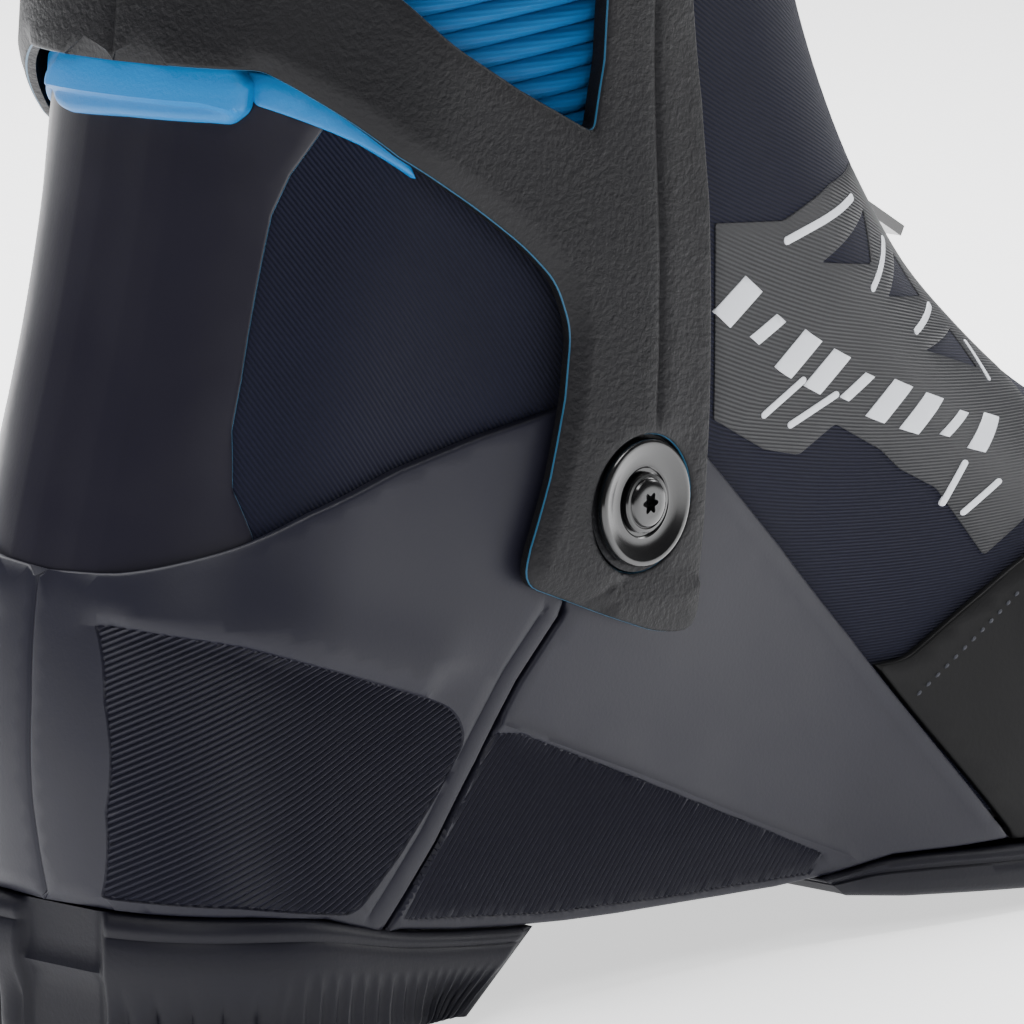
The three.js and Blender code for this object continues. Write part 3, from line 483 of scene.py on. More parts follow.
def patch(name, chart, loops, outer, inner, finish, relief=None, rim=0.7, pitch=3.0, ribs=(), extra=(),
          edge=None, edge_width=0.35, angle=35):
    """A closed sheet lying on one layer of the surface.

    loops are its outline and holes on the map, outer and inner its depths, relief a height for every map
    place, rim the rounding of its outer edge. Free-form sheets like these have no primitive to start from.
    """
    points = list(np.concatenate(loops))
    edges = []
    start = 0
    for loop in loops:
        n = len(loop)
        edges += [(start + i, start + (i + 1) % n) for i in range(n)]
        start += n
    for field in ribs:
        for closed, line in ([(True, field.loops[0]), (True, inset(field.loops[0], 0.26))]
                             + [(False, chain) for chain in field.chains()]):
            n = len(line)
            start = len(points)
            points += list(line)
            edges += [(start + i, start + (i + 1) % n) for i in range(n if closed else n - 1)]
    for line in extra:
        distance, inside = edge_distance(line, loops)
        kept = inside & (distance > rim * 1.1)
        places_of = {int(i): len(points) + k for k, i in enumerate(np.nonzero(kept)[0])}
        points += list(line[kept])
        edges += [(places_of[i], places_of[i + 1]) for i in places_of if i + 1 in places_of]
    placed = []
    for share in (0.15, 0.45, 1.0):
        for i, loop in enumerate(loops):
            moved = inset(loop, rim * share if i == 0 else -rim * share)
            distance, inside = edge_distance(moved, loops)
            placed.append(moved[inside & (distance > rim * share * 0.93)])
    grid = hex_grid(loops[0].min(0), loops[0].max(0), pitch)
    distance, inside = edge_distance(grid, loops)
    keep = inside & (distance > rim + pitch * 0.4)
    for field in ribs:
        near, within = edge_distance(grid, field.loops)
        keep &= ~within & (near > pitch * 0.4)
    for line in extra:
        if len(line):
            gap = np.min(np.linalg.norm(grid[:, None] - line[None], axis=2), axis=1)
            keep &= gap > pitch * 0.35
    placed.append(grid[keep])
    places = np.concatenate([np.array(points)] + [p for p in placed if len(p)])
    made = delaunay_2d_cdt([Vector(p) for p in places], edges, [], 0, 1e-5)
    flat = np.array([tuple(v) for v in made[0]])
    faces = np.array([f for f in made[2] if len(f) == 3])
    _, inside = edge_distance(flat[faces].mean(1), loops)
    faces = faces[inside]
    distance, _ = edge_distance(flat, loops)
    height = relief(flat) if relief else np.zeros(len(flat))
    for field in ribs:
        height = height + field.relief(flat)
    drop = rim * (1 - np.sqrt(np.maximum(1 - (1 - np.clip(distance / rim, 0, 1)) ** 2, 0)))
    base = chart.point(flat[:, 0], flat[:, 1])
    normal = chart.normal(flat[:, 0], flat[:, 1])
    outside = base + normal * (outer + height - drop)[:, None]
    within = base + normal * inner
    count = len(flat)
    counts = {}
    for f in faces:
        for a, b in ((f[0], f[1]), (f[1], f[2]), (f[2], f[0])):
            counts[(a, b)] = counts.get((a, b), 0) + 1
    border = [(a, b) for a, b in counts if (b, a) not in counts]
    rims = np.array([(b, a, a + count, b + count) for a, b in border])
    shell = [tuple(f) for f in faces] + [tuple(f[::-1] + count) for f in faces] + [tuple(r) for r in rims]
    verts = place(np.concatenate([outside, within]))
    obj = new_mesh(name, verts, shell, np.concatenate([flat, flat]) * MM)
    material_list(obj, [finish] + ([edge] if edge else []))
    if edge:
        at_edge = distance[faces].mean(1) < edge_width
        marks = np.zeros(len(shell), np.int32)
        marks[:len(faces)][at_edge] = 1
        obj.data.polygons.foreach_set("material_index", marks)
    return clean(obj, angle)


# ---- Finishes ----
MATERIALS = {}


def finish(name, color, rough, grain=None, weave=None, metal=0.0, coat=0.0, sheen=0.0, mottle=0.0, shine=0.3,
           spread=0.06, glow=0.0):
    """A procedural finish. grain is (size in metres, bump), weave (angle, pitch, bump, darker share)."""
    made = bpy.data.materials.new(name)
    made.use_nodes = True
    nodes, links = made.node_tree.nodes, made.node_tree.links
    shader = nodes["Principled BSDF"]
    inputs = shader.inputs
    inputs["Base Color"].default_value = (*color, 1)
    inputs["Roughness"].default_value = rough
    inputs["Metallic"].default_value = metal
    inputs["Coat Weight"].default_value = coat
    inputs["Coat Roughness"].default_value = 0.15
    inputs["Sheen Weight"].default_value = sheen
    inputs["Sheen Roughness"].default_value = 0.5
    inputs["Specular IOR Level"].default_value = shine
    inputs["Emission Color"].default_value = (1, 1, 1, 1)
    inputs["Emission Strength"].default_value = glow
    place_in = nodes.new("ShaderNodeTexCoord")
    uneven = nodes.new("ShaderNodeTexNoise")
    uneven.inputs["Scale"].default_value = 90
    uneven.inputs["Detail"].default_value = 4
    links.new(place_in.outputs["Object"], uneven.inputs["Vector"])
    roughness = nodes.new("ShaderNodeMapRange")
    roughness.inputs["To Min"].default_value = max(rough - spread, 0.02)
    roughness.inputs["To Max"].default_value = min(rough + spread, 1)
    links.new(uneven.outputs["Fac"], roughness.inputs["Value"])
    links.new(roughness.outputs["Result"], inputs["Roughness"])
    tone = None
    if mottle:
        tone = nodes.new("ShaderNodeMixRGB")
        tone.blend_type = "MIX"
        tone.inputs["Color1"].default_value = (*[c * (1 - mottle) for c in color], 1)
        tone.inputs["Color2"].default_value = (*[min(c * (1 + mottle), 1) for c in color], 1)
        links.new(uneven.outputs["Fac"], tone.inputs["Fac"])
        links.new(tone.outputs["Color"], inputs["Base Color"])
    last = None
    if grain:
        size, height = grain
        cells = nodes.new("ShaderNodeTexNoise")
        cells.inputs["Scale"].default_value = 1 / size
        cells.inputs["Detail"].default_value = 3
        cells.inputs["Roughness"].default_value = 0.6
        links.new(place_in.outputs["Object"], cells.inputs["Vector"])
        last = nodes.new("ShaderNodeBump")
        last.inputs["Strength"].default_value = height
        last.inputs["Distance"].default_value = size * 0.3
        links.new(cells.outputs["Fac"], last.inputs["Height"])
    if weave:
        turn, pitch, height, darker = weave
        turned = nodes.new("ShaderNodeMapping")
        turned.inputs["Rotation"].default_value = (0, 0, math.radians(turn))
        links.new(place_in.outputs["UV"], turned.inputs["Vector"])
        lines = nodes.new("ShaderNodeTexWave")
        lines.wave_type = "BANDS"
        lines.bands_direction = "X"
        lines.inputs["Scale"].default_value = 2 * math.pi / (20 * pitch)
        lines.inputs["Distortion"].default_value = 0
        links.new(turned.outputs["Vector"], lines.inputs["Vector"])
        bump = nodes.new("ShaderNodeBump")
        bump.inputs["Strength"].default_value = height
        bump.inputs["Distance"].default_value = pitch * 0.5
        links.new(lines.outputs["Fac"], bump.inputs["Height"])
        if last:
            links.new(last.outputs["Normal"], bump.inputs["Normal"])
        last = bump
        if darker:
            dark = nodes.new("ShaderNodeMixRGB")
            dark.blend_type = "MULTIPLY"
            dark.inputs["Fac"].default_value = 1
            shade = nodes.new("ShaderNodeMapRange")
            shade.inputs["To Min"].default_value = 1 - darker
            shade.inputs["To Max"].default_value = 1
            links.new(lines.outputs["Fac"], shade.inputs["Value"])
            if tone:
                links.new(tone.outputs["Color"], dark.inputs["Color1"])
            else:
                dark.inputs["Color1"].default_value = (*color, 1)
            links.new(shade.outputs["Result"], dark.inputs["Color2"])
            links.new(dark.outputs["Color"], inputs["Base Color"])
    if last:
        links.new(last.outputs["Normal"], inputs["Normal"])
    MATERIALS[name] = made


COLOURS = {
    "chassis": (0.0085, 0.0085, 0.0150),
    "cuff": (0.0052, 0.0052, 0.0064),
    "softshell": (0.0070, 0.0078, 0.0190),
    "blue_pad": (0.0003, 0.13, 0.36),
    "blue_knit": (0.0002, 0.082, 0.24),
}  # the defaults of the settings


def make_finishes(settings):
    """Makes every material, with the colours of the settings."""
    finish("chassis", settings.chassis_colour, 0.46, grain=(0.0006, 0.14), shine=0.2)
    finish("cuff", settings.cuff_colour, 0.47, grain=(0.0010, 0.7), mottle=0.2, shine=0.16)
    finish("counter", (0.0075, 0.0068, 0.0125), 0.33, coat=0.12, grain=(0.0009, 0.07), shine=0.3)
    finish("softshell", settings.softshell_colour, 0.72, weave=(45, 0.00065, 0.6, 0.45), sheen=0.05,
           mottle=0.15, shine=0.08)
    finish("overlay", (0.0028, 0.0028, 0.0032), 0.5, grain=(0.0008, 0.12), shine=0.1)
    finish("film", (0.019, 0.0195, 0.022), 0.45, weave=(45, 0.00065, 0.35, 0.2), shine=0.2)
    finish("print", (0.62, 0.64, 0.68), 0.5)
    finish("edge_blue", (0.022, 0.085, 0.15), 0.4)
    finish("rubber", (0.0055, 0.0055, 0.0095), 0.5, grain=(0.0007, 0.25), mottle=0.15, shine=0.18)
    finish("tread", (0.008, 0.008, 0.010), 0.75, grain=(0.0006, 0.4), shine=0.12)
    finish("blue_pad", settings.pad_colour, 0.5, grain=(0.0006, 0.35), shine=0.3)
    finish("blue_knit", settings.liner_colour, 0.55, weave=(90, 0.0008, 0.25, 0.15), sheen=0.03, shine=0.12)
    finish("lining", (0.012, 0.04, 0.10), 0.9, weave=(
        30, 0.0011, 0.8, 0.3), sheen=0.25, mottle=0.2, shine=0.1)
    finish("webbing", (0.0065, 0.0065, 0.0075), 0.8, weave=(90, 0.0011, 1.0, 0.5), sheen=0.15, shine=0.1)
    finish("thread", (0.03, 0.032, 0.04), 0.7, grain=(0.0003, 0.4))
    finish("board", (0.02, 0.02, 0.022), 0.6, grain=(0.0007, 0.2))
    finish("hard_plastic", (0.010, 0.010, 0.011), 0.42, grain=(0.0007, 0.15))
    finish("steel", (0.55, 0.56, 0.58), 0.26, metal=1, grain=(0.0005, 0.06), shine=0.5)
    finish("black_metal", (0.003, 0.003, 0.0035), 0.2, metal=0.0, coat=0.5, spread=0.03, shine=0.35)
    finish("floor", (0.86, 0.86, 0.87), 0.6, grain=(0.002, 0.02), glow=1.1)


CARRIED = {
    "shell": "chassis", "cuff": "cuff", "counter": "counter", "softshell": "softshell", "overlay": "overlay",
    "rubber": "rubber", "hard_plastic": "hard_plastic", "blue_pad": "blue_pad", "webbing": "webbing",
    "board": "board", "lining": "lining", "steel": "steel", "black_metal": "black_metal",
}


def finish_carried():
    """Gives the nodes that stay as they are the finish of their slot."""
    for part in frame["record"]["subparts"]:
        node = frame["nodes"][part["node"]]
        node.data.materials.clear()
        node.data.materials.append(MATERIALS[CARRIED[part["material_slot"]]])


# ---- Shapes of the shells, seen from the side ----
SPLIT = [(76.6, 63.8), (68.4, 53.6), (61.0, 41.9), (52.9, 30.6), (41.8, 17.9)]  # between cradle and frame
CRADLE_TOP = [(5.8, 76), (10.5, 78), (17, 80.4), (26.8, 84.5), (43, 89.5), (58.3, 92.9), (72, 95.2)]
FRAME_TOP = [(101, 90.8), (107.5, 83.8), (125.6, 67.8), (143.8, 50.7), (160.2, 33.8), (177, 16.5)]
HEEL_RIBS = [(58.4, 45.7, 2), (56.9, 50.6, 4), (49, 54, 2), (31.9, 60), (15.6, 65.7), (3.2, 68.6, 0.8),
             (2.3, 57),
             (2.2, 40), (3.4, 26.2, 0.6), (15.6, 25.2), (35.7, 21.6, 3), (44.9, 29.5), (55.4, 40.4)]
FRAME_RIBS = [(63.9, 46.2, 1), (70, 45.4), (97.7, 33.9), (127.6, 21.3), (143, 14.6, 1), (140, 11.4),
              (110, 12.6),
              (78, 14.9), (48, 18.9), (45.6, 19.6, 1), (53.8, 29.6), (61.6, 40.8)]
CUFF = [(18, 151), (24.5, 150.9, 1), (29.3, 146.8), (40.6, 137.6), (55, 128.7, 5), (64.8, 121.7, 4),
        (70.9, 115.8, 3),
        (73.7, 108.4, 3), (72.2, 97.8), (69.2, 85.7), (65.8,
         75.2), (64.6, 69.5, 3.5), (80.4, 63.2), (93, 58.6, 4),
        (102.2, 57.6, 4.2), (102.4, 84.9), (103, 94.3), (103.8,
         109.8), (104.1, 125.3), (103.4, 140.8), (101.5, 157),
        (101.5, 166, 6), (116, 174, 6), (128, 184, 6), (127, 199, 6), (112, 203, 8), (60, 200, 12), (18, 197)]
WINDOW = [(37, 165, 3), (49.1, 154.2, 4), (63.2, 146),
           (78.4, 138.2, 1.6), (81, 149), (82.8, 176, 4), (44, 176, 5)]
SEAM = ([25, 40, 56, 75], [-1, 0.1, 0.2, 1.6])  # heights and places of the parting line down the heel
CHAMFER = 3.2  # width of the bevel along the cuff's lower edge


def sole_part(low, high, rise=0.35, step=12):
    count = max(2, round(abs(high - low) / step) + 1)
    return [(x, float(sole_z(x)) + rise) for x in np.linspace(low, high, count)]


def mirrored(loop):
    return loop * [-1, 1]


def both(loop):
    """A lateral loop of the ring map and its mirror image on the inner side."""
    return [loop, mirrored(loop)[::-1]]


def hoop_both(loop):
    """A lateral loop of the hoop map and its mirror image on the inner side."""
    return [loop, (loop * [1, -1])[::-1]]


def band_height(distance, at, width, height):
    """A soft ridge (or groove, if height is negative) along the places that lie at that distance."""
    return height * np.exp(-((distance - at) / width) ** 2)


def line_distance(places, line):
    """Distance from places to an open line."""
    a, b = line[:-1], line[1:]
    d = b - a
    off = places[:, None] - a[None]
    u = np.clip((off * d).sum(2) / np.maximum((d ** 2).sum(1), 1e-9), 0, 1)
    return np.sqrt(((off - u[..., None] * d) ** 2).sum(2)).min(1)


def sides(places):
    """The places as they lie on the outer side, whichever side they are on."""
    return np.stack([-np.abs(places[:, 0]), places[:, 1]], 1)


def follow(line, *shifts):
    """Copies of a line moved sideways, on both sides of the boot, for a sheet's triangles to follow."""
    forward = np.gradient(line, axis=0)
    n = np.stack([-forward[:, 1], forward[:, 0]], 1)
    n /= np.maximum(np.linalg.norm(n, axis=1, keepdims=True), 1e-9)
    copies = [line + n * shift for shift in shifts]
    return copies + [mirrored(copy) for copy in copies]


def heel_cradle():
    half = [(2, 75), *CRADLE_TOP, (76.6, 95.8), *SPLIT, *sole_part(30, 5)[:-1], (3.2, 24.3)]
    loop = wrap_loop(RING, half)
    ribs = side_loop(RING, HEEL_RIBS, LATERAL, step=0.35)
    fields = [Ribs(ribs, -24), Ribs(mirrored(ribs)[::-1], 24)]
    split = on_map(RING, corners([(76.6, 66), *SPLIT], closed=False), LATERAL)
    top = on_map(RING, corners([(5.5, 69.6), (15.6, 67.2), (31.9, 61.6), (49, 55.8)], closed=False), LATERAL)

    def relief(places):
        at = sides(places)
        to_split = line_distance(at, split)
        shoulder = line_distance(at, top)
        above = at[:, 1] > np.interp(-at[:, 0], -top[:, 0], top[:, 1])
        bulge = 1.3 * np.where(above, np.exp(-(shoulder / 7.5) ** 2), np.exp(-(shoulder / 1.6) ** 2))
        seam = np.exp(-((places[:, 0] - np.interp(places[:, 1], *SEAM)) / 0.4) ** 2)
        return bulge + band_height(to_split, 3.6, 0.5, -0.35) - 0.4 * seam

    seam_q = np.arange(26, 75, 1.5)
    seam = np.stack([np.interp(seam_q, *SEAM), seam_q], 1)
    extra = follow(split, 3.0, 3.6, 4.2) + follow(top, 0.2, 1.4, 3.5)
    extra += [seam + [shift, 0] for shift in (-0.8, -0.4, 0, 0.4, 0.8)]
    return patch("heel_cradle_shell", RING, [loop], 0, CHASSIS_IN, "chassis", relief, ribs=fields,
                 extra=extra,
                 pitch=2.4)


def midfoot_frame():
    pieces = []
    outline = [(77.4, 96.5), (90, 97), *FRAME_TOP, (181.5, 12), *sole_part(170, 46)]
    outline += [(x + 0.8, z - 0.3) for x, z in SPLIT[::-1]] + [(77.4, 80)]
    loop = side_loop(RING, outline, LATERAL)
    hole = side_loop(RING, [(PIVOT[0] + 5 * math.cos(t), PIVOT[2] + 5 * math.sin(t))
                            for t in np.linspace(0, 2 * math.pi, 33)[:-1]], LATERAL, step=3)
    ribs = side_loop(RING, FRAME_RIBS, LATERAL, step=0.35)
    ridge = on_map(RING, corners([(65.4, 47.4), (97.7, 34.6),
                   (127.6, 22.0), (148.3, 13.6)], closed=False), LATERAL)
    border = on_map(RING, corners(FRAME_TOP[1:], closed=False), LATERAL)

    def relief(places):
        at = sides(places)
        return (band_height(line_distance(at, ridge), 0, 0.55, 0.35)
                + band_height(line_distance(at, border), 2.4, 0.8, 0.22))

    for side, name in SIDES:
        turn = (lambda line: line) if side == LATERAL else (lambda line: mirrored(line)[::-1])
        field = Ribs(turn(ribs), 45 * side, sink=0.35)
        half = 0 if side == LATERAL else 1
        extra = (follow(ridge, -0.9, 0, 0.9)[3 * half:3 * half + 3]
                 + follow(border, 1.6, 2.4, 3.2, -1.6, -2.4, -3.2)[6 * half:6 * half + 6])
        pieces.append(patch(f"midfoot_frame_{name}", RING, [turn(loop), turn(hole)], 0, CHASSIS_IN,
                            "chassis", relief,
                            ribs=[field], extra=extra, pitch=3.2))
    return pieces


def heel_counter():
    half = [(20, 150.5), (27, 148), (33.8, 143), (33.3, 141.5), (29.2, 135), (26.7, 129), (23.9, 118),
            (20.6, 104.8),
            (18.5, 97.5), (17.3, 88.7), (18.8, 82), (20, 70), (3, 70)]
    loop = wrap_loop(RING, half)

    def relief(places):
        at = np.abs(places[:, 0])
        return 0.5 * np.interp(at, [0, 4.5, 9.5, 17, 25, 40], [0.1, 0.75, 1.0, 0.2, 0.0, 0.0])

    q = np.arange(72, 148, 2.0)
    extra = [np.stack([np.full_like(q, p * s), q], 1) for p in (4, 4.5, 5, 9, 9.5, 10, 16.5, 17, 17.5, 24.5,
                                                                25, 25.5)
             for s in (-1, 1)]
    return patch("heel_counter_shell", RING, [loop], SKIN_OUT + 0.9, SKIN_IN, "counter", relief, extra=extra,
                 rim=0.5, pitch=2.6, edge="edge_blue", edge_width=0.1)


def cuff_shell():
    loop = wrap_loop(RING, CUFF, CUFF_OUT)
    window = side_loop(RING, WINDOW, LATERAL, CUFF_OUT)
    recess = side_loop(RING, [(PIVOT[0] + 10.65 * math.cos(t), PIVOT[2] + 10.65 * math.sin(t))
                              for t in np.linspace(0, 2 * math.pi, 49)[:-1]], LATERAL, step=2)
    rivet = side_loop(RING, [(89 + 2.6 * math.cos(t), 187 + 2.6 * math.sin(t))
                             for t in np.linspace(0, 2 * math.pi, 17)[:-1]], LATERAL, step=2)
    lower = on_map(RING, corners(CUFF[1:13], closed=False), LATERAL, CUFF_OUT)
    groove = on_map(RING, corners([(92.4, 157.2), (92, 118.8), (91.3, 104),
                    (90.4, 93)], closed=False), LATERAL, CUFF_OUT)
    wedge = on_map(RING, corners([(84, 68.5), (74.5, 63.6)], closed=False), LATERAL, CUFF_OUT)

    def relief(places):
        at = sides(places)
        to_edge = line_distance(at, lower)
        bevel = -1.1 * ease(1 - to_edge / CHAMFER)
        ahead = at[:, 0] < np.interp(at[:, 1], groove[::-1, 1], groove[::-1, 0])
        along = line_distance(at, groove)
        facet = np.where(ahead & (at[:, 1] > 66), -0.55 * ease(along / 10), 0)
        mould = -0.35 * np.exp(-(places[:, 0] / 0.5) ** 2)
        foot = band_height(line_distance(at, wedge), 0, 0.8, -0.3)
        return bevel + facet + band_height(along, 0, 0.55, -0.45) + mould + foot

    q = np.arange(152, 197, 2.0)
    extra = [np.stack([np.full_like(q, p), q], 1) for p in (-1, -0.5, 0, 0.5, 1)]
    inner_lines = follow(lower, -0.9, -2.0, -CHAMFER, -CHAMFER - 0.8, 0.9, 2.0, CHAMFER, CHAMFER + 0.8)
    extra += inner_lines + follow(groove, -1.2, -0.6, 0, 0.6, 1.2) + follow(wedge, -0.8, 0, 0.8)
    loops = [loop] + both(window) + both(recess) + both(rivet)
    return patch("cuff_shell_moulded", RING, loops, CUFF_OUT, CUFF_IN, "cuff", relief, extra=extra, rim=0.6,
                 pitch=2.6,
                 edge="edge_blue", edge_width=0.1)


def softshell_front():
    """The softshell over the instep and the shin, in one piece from the toe to the top of the shaft."""
    top = HOOP.at_side([88], [TOP - 1], LATERAL)[0]
    line = []
    for x, z in [(88, 208), (88, 190), (86, 160), (84, 130), (84, 104), (84, 84), (100, 72), (118, 60),
                 (134, 46),
                 (150, 30), (170, 17), (205, 14), (238, 16), (252, 24)]:
        line.append(HOOP.at_side([x], [z], LATERAL)[0])
    line = np.array(line)
    p_front = line[-1, 0]
    outline = np.concatenate([line, [[p_front, -20]], ([[p_front, 20]]), (line * [1, -1])[::-1]])
    loop = corners(outline)
    if top[0] > 0:
        loop = loop[loop[:, 0] > 0.5]
    return patch("softshell_front", HOOP, [loop], SKIN_OUT, SKIN_IN, "softshell", pitch=3.2, rim=0.5)


def softshell_rear():
    pieces = []
    outline = [(12, 150), (12, 74), (30, 78), (60, 84), (92, 84), (93, 120), (93, 170), (12, 170)]
    for (_, name), loop in zip(SIDES, both(side_loop(RING, outline, LATERAL))):
        pieces.append(patch(f"softshell_rear_{name}", RING, [loop], SKIN_OUT + 0.3, SKIN_IN, "softshell",
                            pitch=3.5, rim=0.5))
    return pieces


# ---- Instep film, prints, overlays and stitches ----
FILM = [(110.2, 89.6, 0.5), (111.6, 120.2, 0.5), (128.3, 118.8, 1), (141.6, 123.2, 1), (154, 124.6),
        (163, 115.5),
        (176, 104.5), (187.3, 95.5), (201, 85), (201, 78.2, 1), (185.5, 63.9, 1), (175.8, 59.4, 1),
        (170.8, 65.2),
        (164.8, 71.8, 1), (156.1, 75.9, 1), (151.4, 79.6), (140.2, 85.2, 1), (131.2, 81.3, 1), (122.6, 83.3)]
FILM_HOLES = [[(137.6, 111.2, 0.5), (153.4, 117.6, 0.5), (151.8, 109.2, 0.5)],
              [(164.5, 109, 0.5), (171.5, 101.2, 0.5), (156, 103.5, 0.5)],
              [(165.5, 93.7, 0.5), (180, 94.8, 0.5), (184, 88.2, 0.5)]]
DASHES = [((128.9, 115.7), (149.5, 120.6)), ((161.5, 112.6), (151.5, 105.8)), ((164, 97.6), (175.5, 100.4)),
          ((186.5, 93.0), (187.5, 87.3)), ((132.2, 93.2), (122.5, 88.8)), ((140.3, 89.9), (129.0, 86.4)),
          ((172.0, 75.1), (166.2, 69.2)), ((180.3, 71.2), (171.1, 67.1))]
BAR_LINE = ((116.5, 107.5), (179, 79.5))  # a row of slanted bars runs along it
BARS = 9
OVERLAY = [(150.9, 44.6), (157.4, 45, 2), (168.1, 50.9, 4), (182.9, 58, 6), (205, 64.5, 8), (240.6, 66.5),
           (236.4, 47), (235.8, 30), (239, 13.4)]
TOE_EDGE = [(239.6, 12.8), (236.2, 30), (237, 46), (241.2, 66), (247, 76)]
STITCH_LINES = [[(182.6, 53.2), (174.7, 48.4), (168.2, 44.3), (159.9, 38.8)],
                [(183.5, 55.2), (205.2, 61.8), (236, 63.8)], [(239.4, 20), (238.4, 32), (239.3, 46),
                                                              (243.4, 64.4)]]


def capsule(a, b, width):
    """Loop of a round-ended stroke between two map places."""
    a, b = np.array(a, float), np.array(b, float)
    along = (b - a) / np.linalg.norm(b - a)
    start = math.atan2(along[1], along[0])
    loop = []
    for middle, turn in ((b, start - math.pi / 2), (a, start + math.pi / 2)):
        for t in np.linspace(0, math.pi, 7):
            loop.append(middle + width / 2 * np.array([math.cos(turn + t), math.sin(turn + t)]))
    return corners(loop, step=1.5)


def film():
    pieces = []
    loops = [side_loop(HOOP, FILM, LATERAL, SKIN_OUT)] + \
                       [side_loop(HOOP, hole, LATERAL, SKIN_OUT) for hole in FILM_HOLES]
    loops[0][:, 1] = np.minimum(loops[0][:, 1], -20.5)
    for (_, name), side_loops in zip(SIDES, zip(*[hoop_both(loop) for loop in loops])):
        pieces.append(patch(f"instep_film_{name}", HOOP, list(side_loops), SKIN_OUT + 0.22, SKIN_OUT - 0.3,
                            "film",
                            rim=0.12, pitch=2.6))
    return pieces


def prints():
    """White strokes and a row of slanted bars on the film."""
    pieces = []
    for side, name in SIDES:
        strokes = []
        for i, (a, b) in enumerate(DASHES):
            ends = HOOP.at_side([a[0], b[0]], [a[1], b[1]], LATERAL) * [1, -side]
            ends[:, 1] = side * np.maximum(np.abs(ends[:, 1]), 21.5)
            strokes.append(patch(f"stroke_{name}_{i}", HOOP, [capsule(*ends, 1.25)], SKIN_OUT + 0.38,
                                 SKIN_OUT - 0.1,
                                 "print", rim=0.08, pitch=2))
        line = HOOP.at_side([p[0] for p in BAR_LINE], [p[1] for p in BAR_LINE], LATERAL) * [1, -side]
        along = (line[1] - line[0]) / (BARS - 1)
        unit = along / np.linalg.norm(along)
        across = np.array([-unit[1], unit[0]])
        for i in range(BARS):
            middle = line[0] + along * i
            half = 1.1 if i % 3 == 1 else 2.1
            high = 3.1 if i % 3 == 1 else 4.3
            lean = 1.9
            quad = [middle + unit * (s * half + t * lean) + across * t * high
                    for s, t in ((-1, -1), (1, -1), (1, 1), (-1, 1))]
            strokes.append(patch(f"bar_{name}_{i}", HOOP, [corners(quad, step=1.5)], SKIN_OUT + 0.38,
                                 SKIN_OUT - 0.1,
                                 "print", rim=0.08, pitch=2))
        pieces.append(joined(strokes, f"instep_print_{name}"))
    return pieces


def joined(parts, name):
    select_only(parts[0])
    for part in parts[1:]:
        part.select_set(True)
    if len(parts) > 1:
        bpy.ops.object.join()
    made = bpy.context.object
    made.name = made.data.name = name
    return made


def side_overlays():
    pieces = []
    outline = OVERLAY + sole_part(232, 183, 0.6) + [(181.7, 13.4), (160.7, 34.4)]
    for (_, name), loop in zip(SIDES, hoop_both(side_loop(HOOP, outline, LATERAL, -0.5))):
        pieces.append(patch(f"side_overlay_{name}_skin", HOOP, [
                      loop], -0.6, -1.9, "overlay", rim=0.5, pitch=3.2))
    return pieces


def toe_cap():
    edge = on_map(HOOP, corners(TOE_EDGE, closed=False), LATERAL, -0.3)
    end = edge[-1]
    over = np.stack([np.linspace(end[0], end[0] + 2.5, 9), np.linspace(end[1], 0, 9)], 1)[1:]
    upper = np.concatenate([edge, over])
    sole = on_map(HOOP, corners(sole_part(299, 241, 0.6, 4), closed=False), LATERAL)
    last = HOOP.length - 2.5
    sole = sole[sole[:, 0] < last]
    half = np.concatenate([[[last, sole[0, 1]]], sole, upper])
    loop = np.concatenate([half, (half * [1, -1])[::-1][1:]])

    def relief(places):
        return 0.35 * ease((places[:, 0] - edge[:, 0].min() - 14) / 8)

    return patch("toe_cap_skin", HOOP, [corners(loop)], -0.1, -1.9, "overlay", relief, rim=0.6, pitch=3)


def stitches(name, chart, lines, depth, spacing=2.3, size=(0.62, 0.34, 0.26)):
    """Rows of single stitches lying on the surface: each a small faceted bead."""
    bpy.ops.object.select_all(action="DESELECT")
    bpy.ops.mesh.primitive_uv_sphere_add(segments=6, ring_count=4, radius=1, location=(0, 0, 0))
    bead = bpy.context.object
    shape = np.array([tuple(v.co) for v in bead.data.vertices]) * np.array(size)
    faces = [tuple(p.vertices) for p in bead.data.polygons]
    bpy.data.objects.remove(bead)
    verts, all_faces = [], []
    for line in lines:
        run = np.concatenate([[0], np.cumsum(np.linalg.norm(np.diff(line, axis=0), axis=1))])
        at = np.arange(spacing / 2, run[-1], spacing)
        p = np.interp(at, run, line[:, 0])
        q = np.interp(at, run, line[:, 1])
        ahead = np.stack([np.interp(at + 0.4, run, line[:, 0]), np.interp(at + 0.4, run, line[:, 1])], 1)
        base, n = chart.point(p, q), chart.normal(p, q)
        along = chart.point(ahead[:, 0], ahead[:, 1]) - base
        along /= np.maximum(np.linalg.norm(along, axis=1, keepdims=True), 1e-9)
        across = np.cross(n, along)
        for b, nn, aa, cc in zip(base, n, along, across):
            start = len(verts)
            verts += list(b + nn * depth + shape[:, :1] * aa + shape[:, 1:2] * cc + shape[:, 2:] * nn)
            all_faces += [tuple(i + start for i in face) for face in faces]
    obj = new_mesh(name, place(verts), all_faces)
    material_list(obj, ["thread"])
    return clean(obj, 60)


def overlay_stitches(spacing):
    pieces = []
    for side, name in SIDES:
        lines = [on_map(HOOP, corners(line, closed=False), LATERAL, -0.6) * [1, -side]
                        for line in STITCH_LINES]
        pieces.append(stitches(f"stitches_{name}", HOOP, lines, -0.62, spacing))
    return pieces


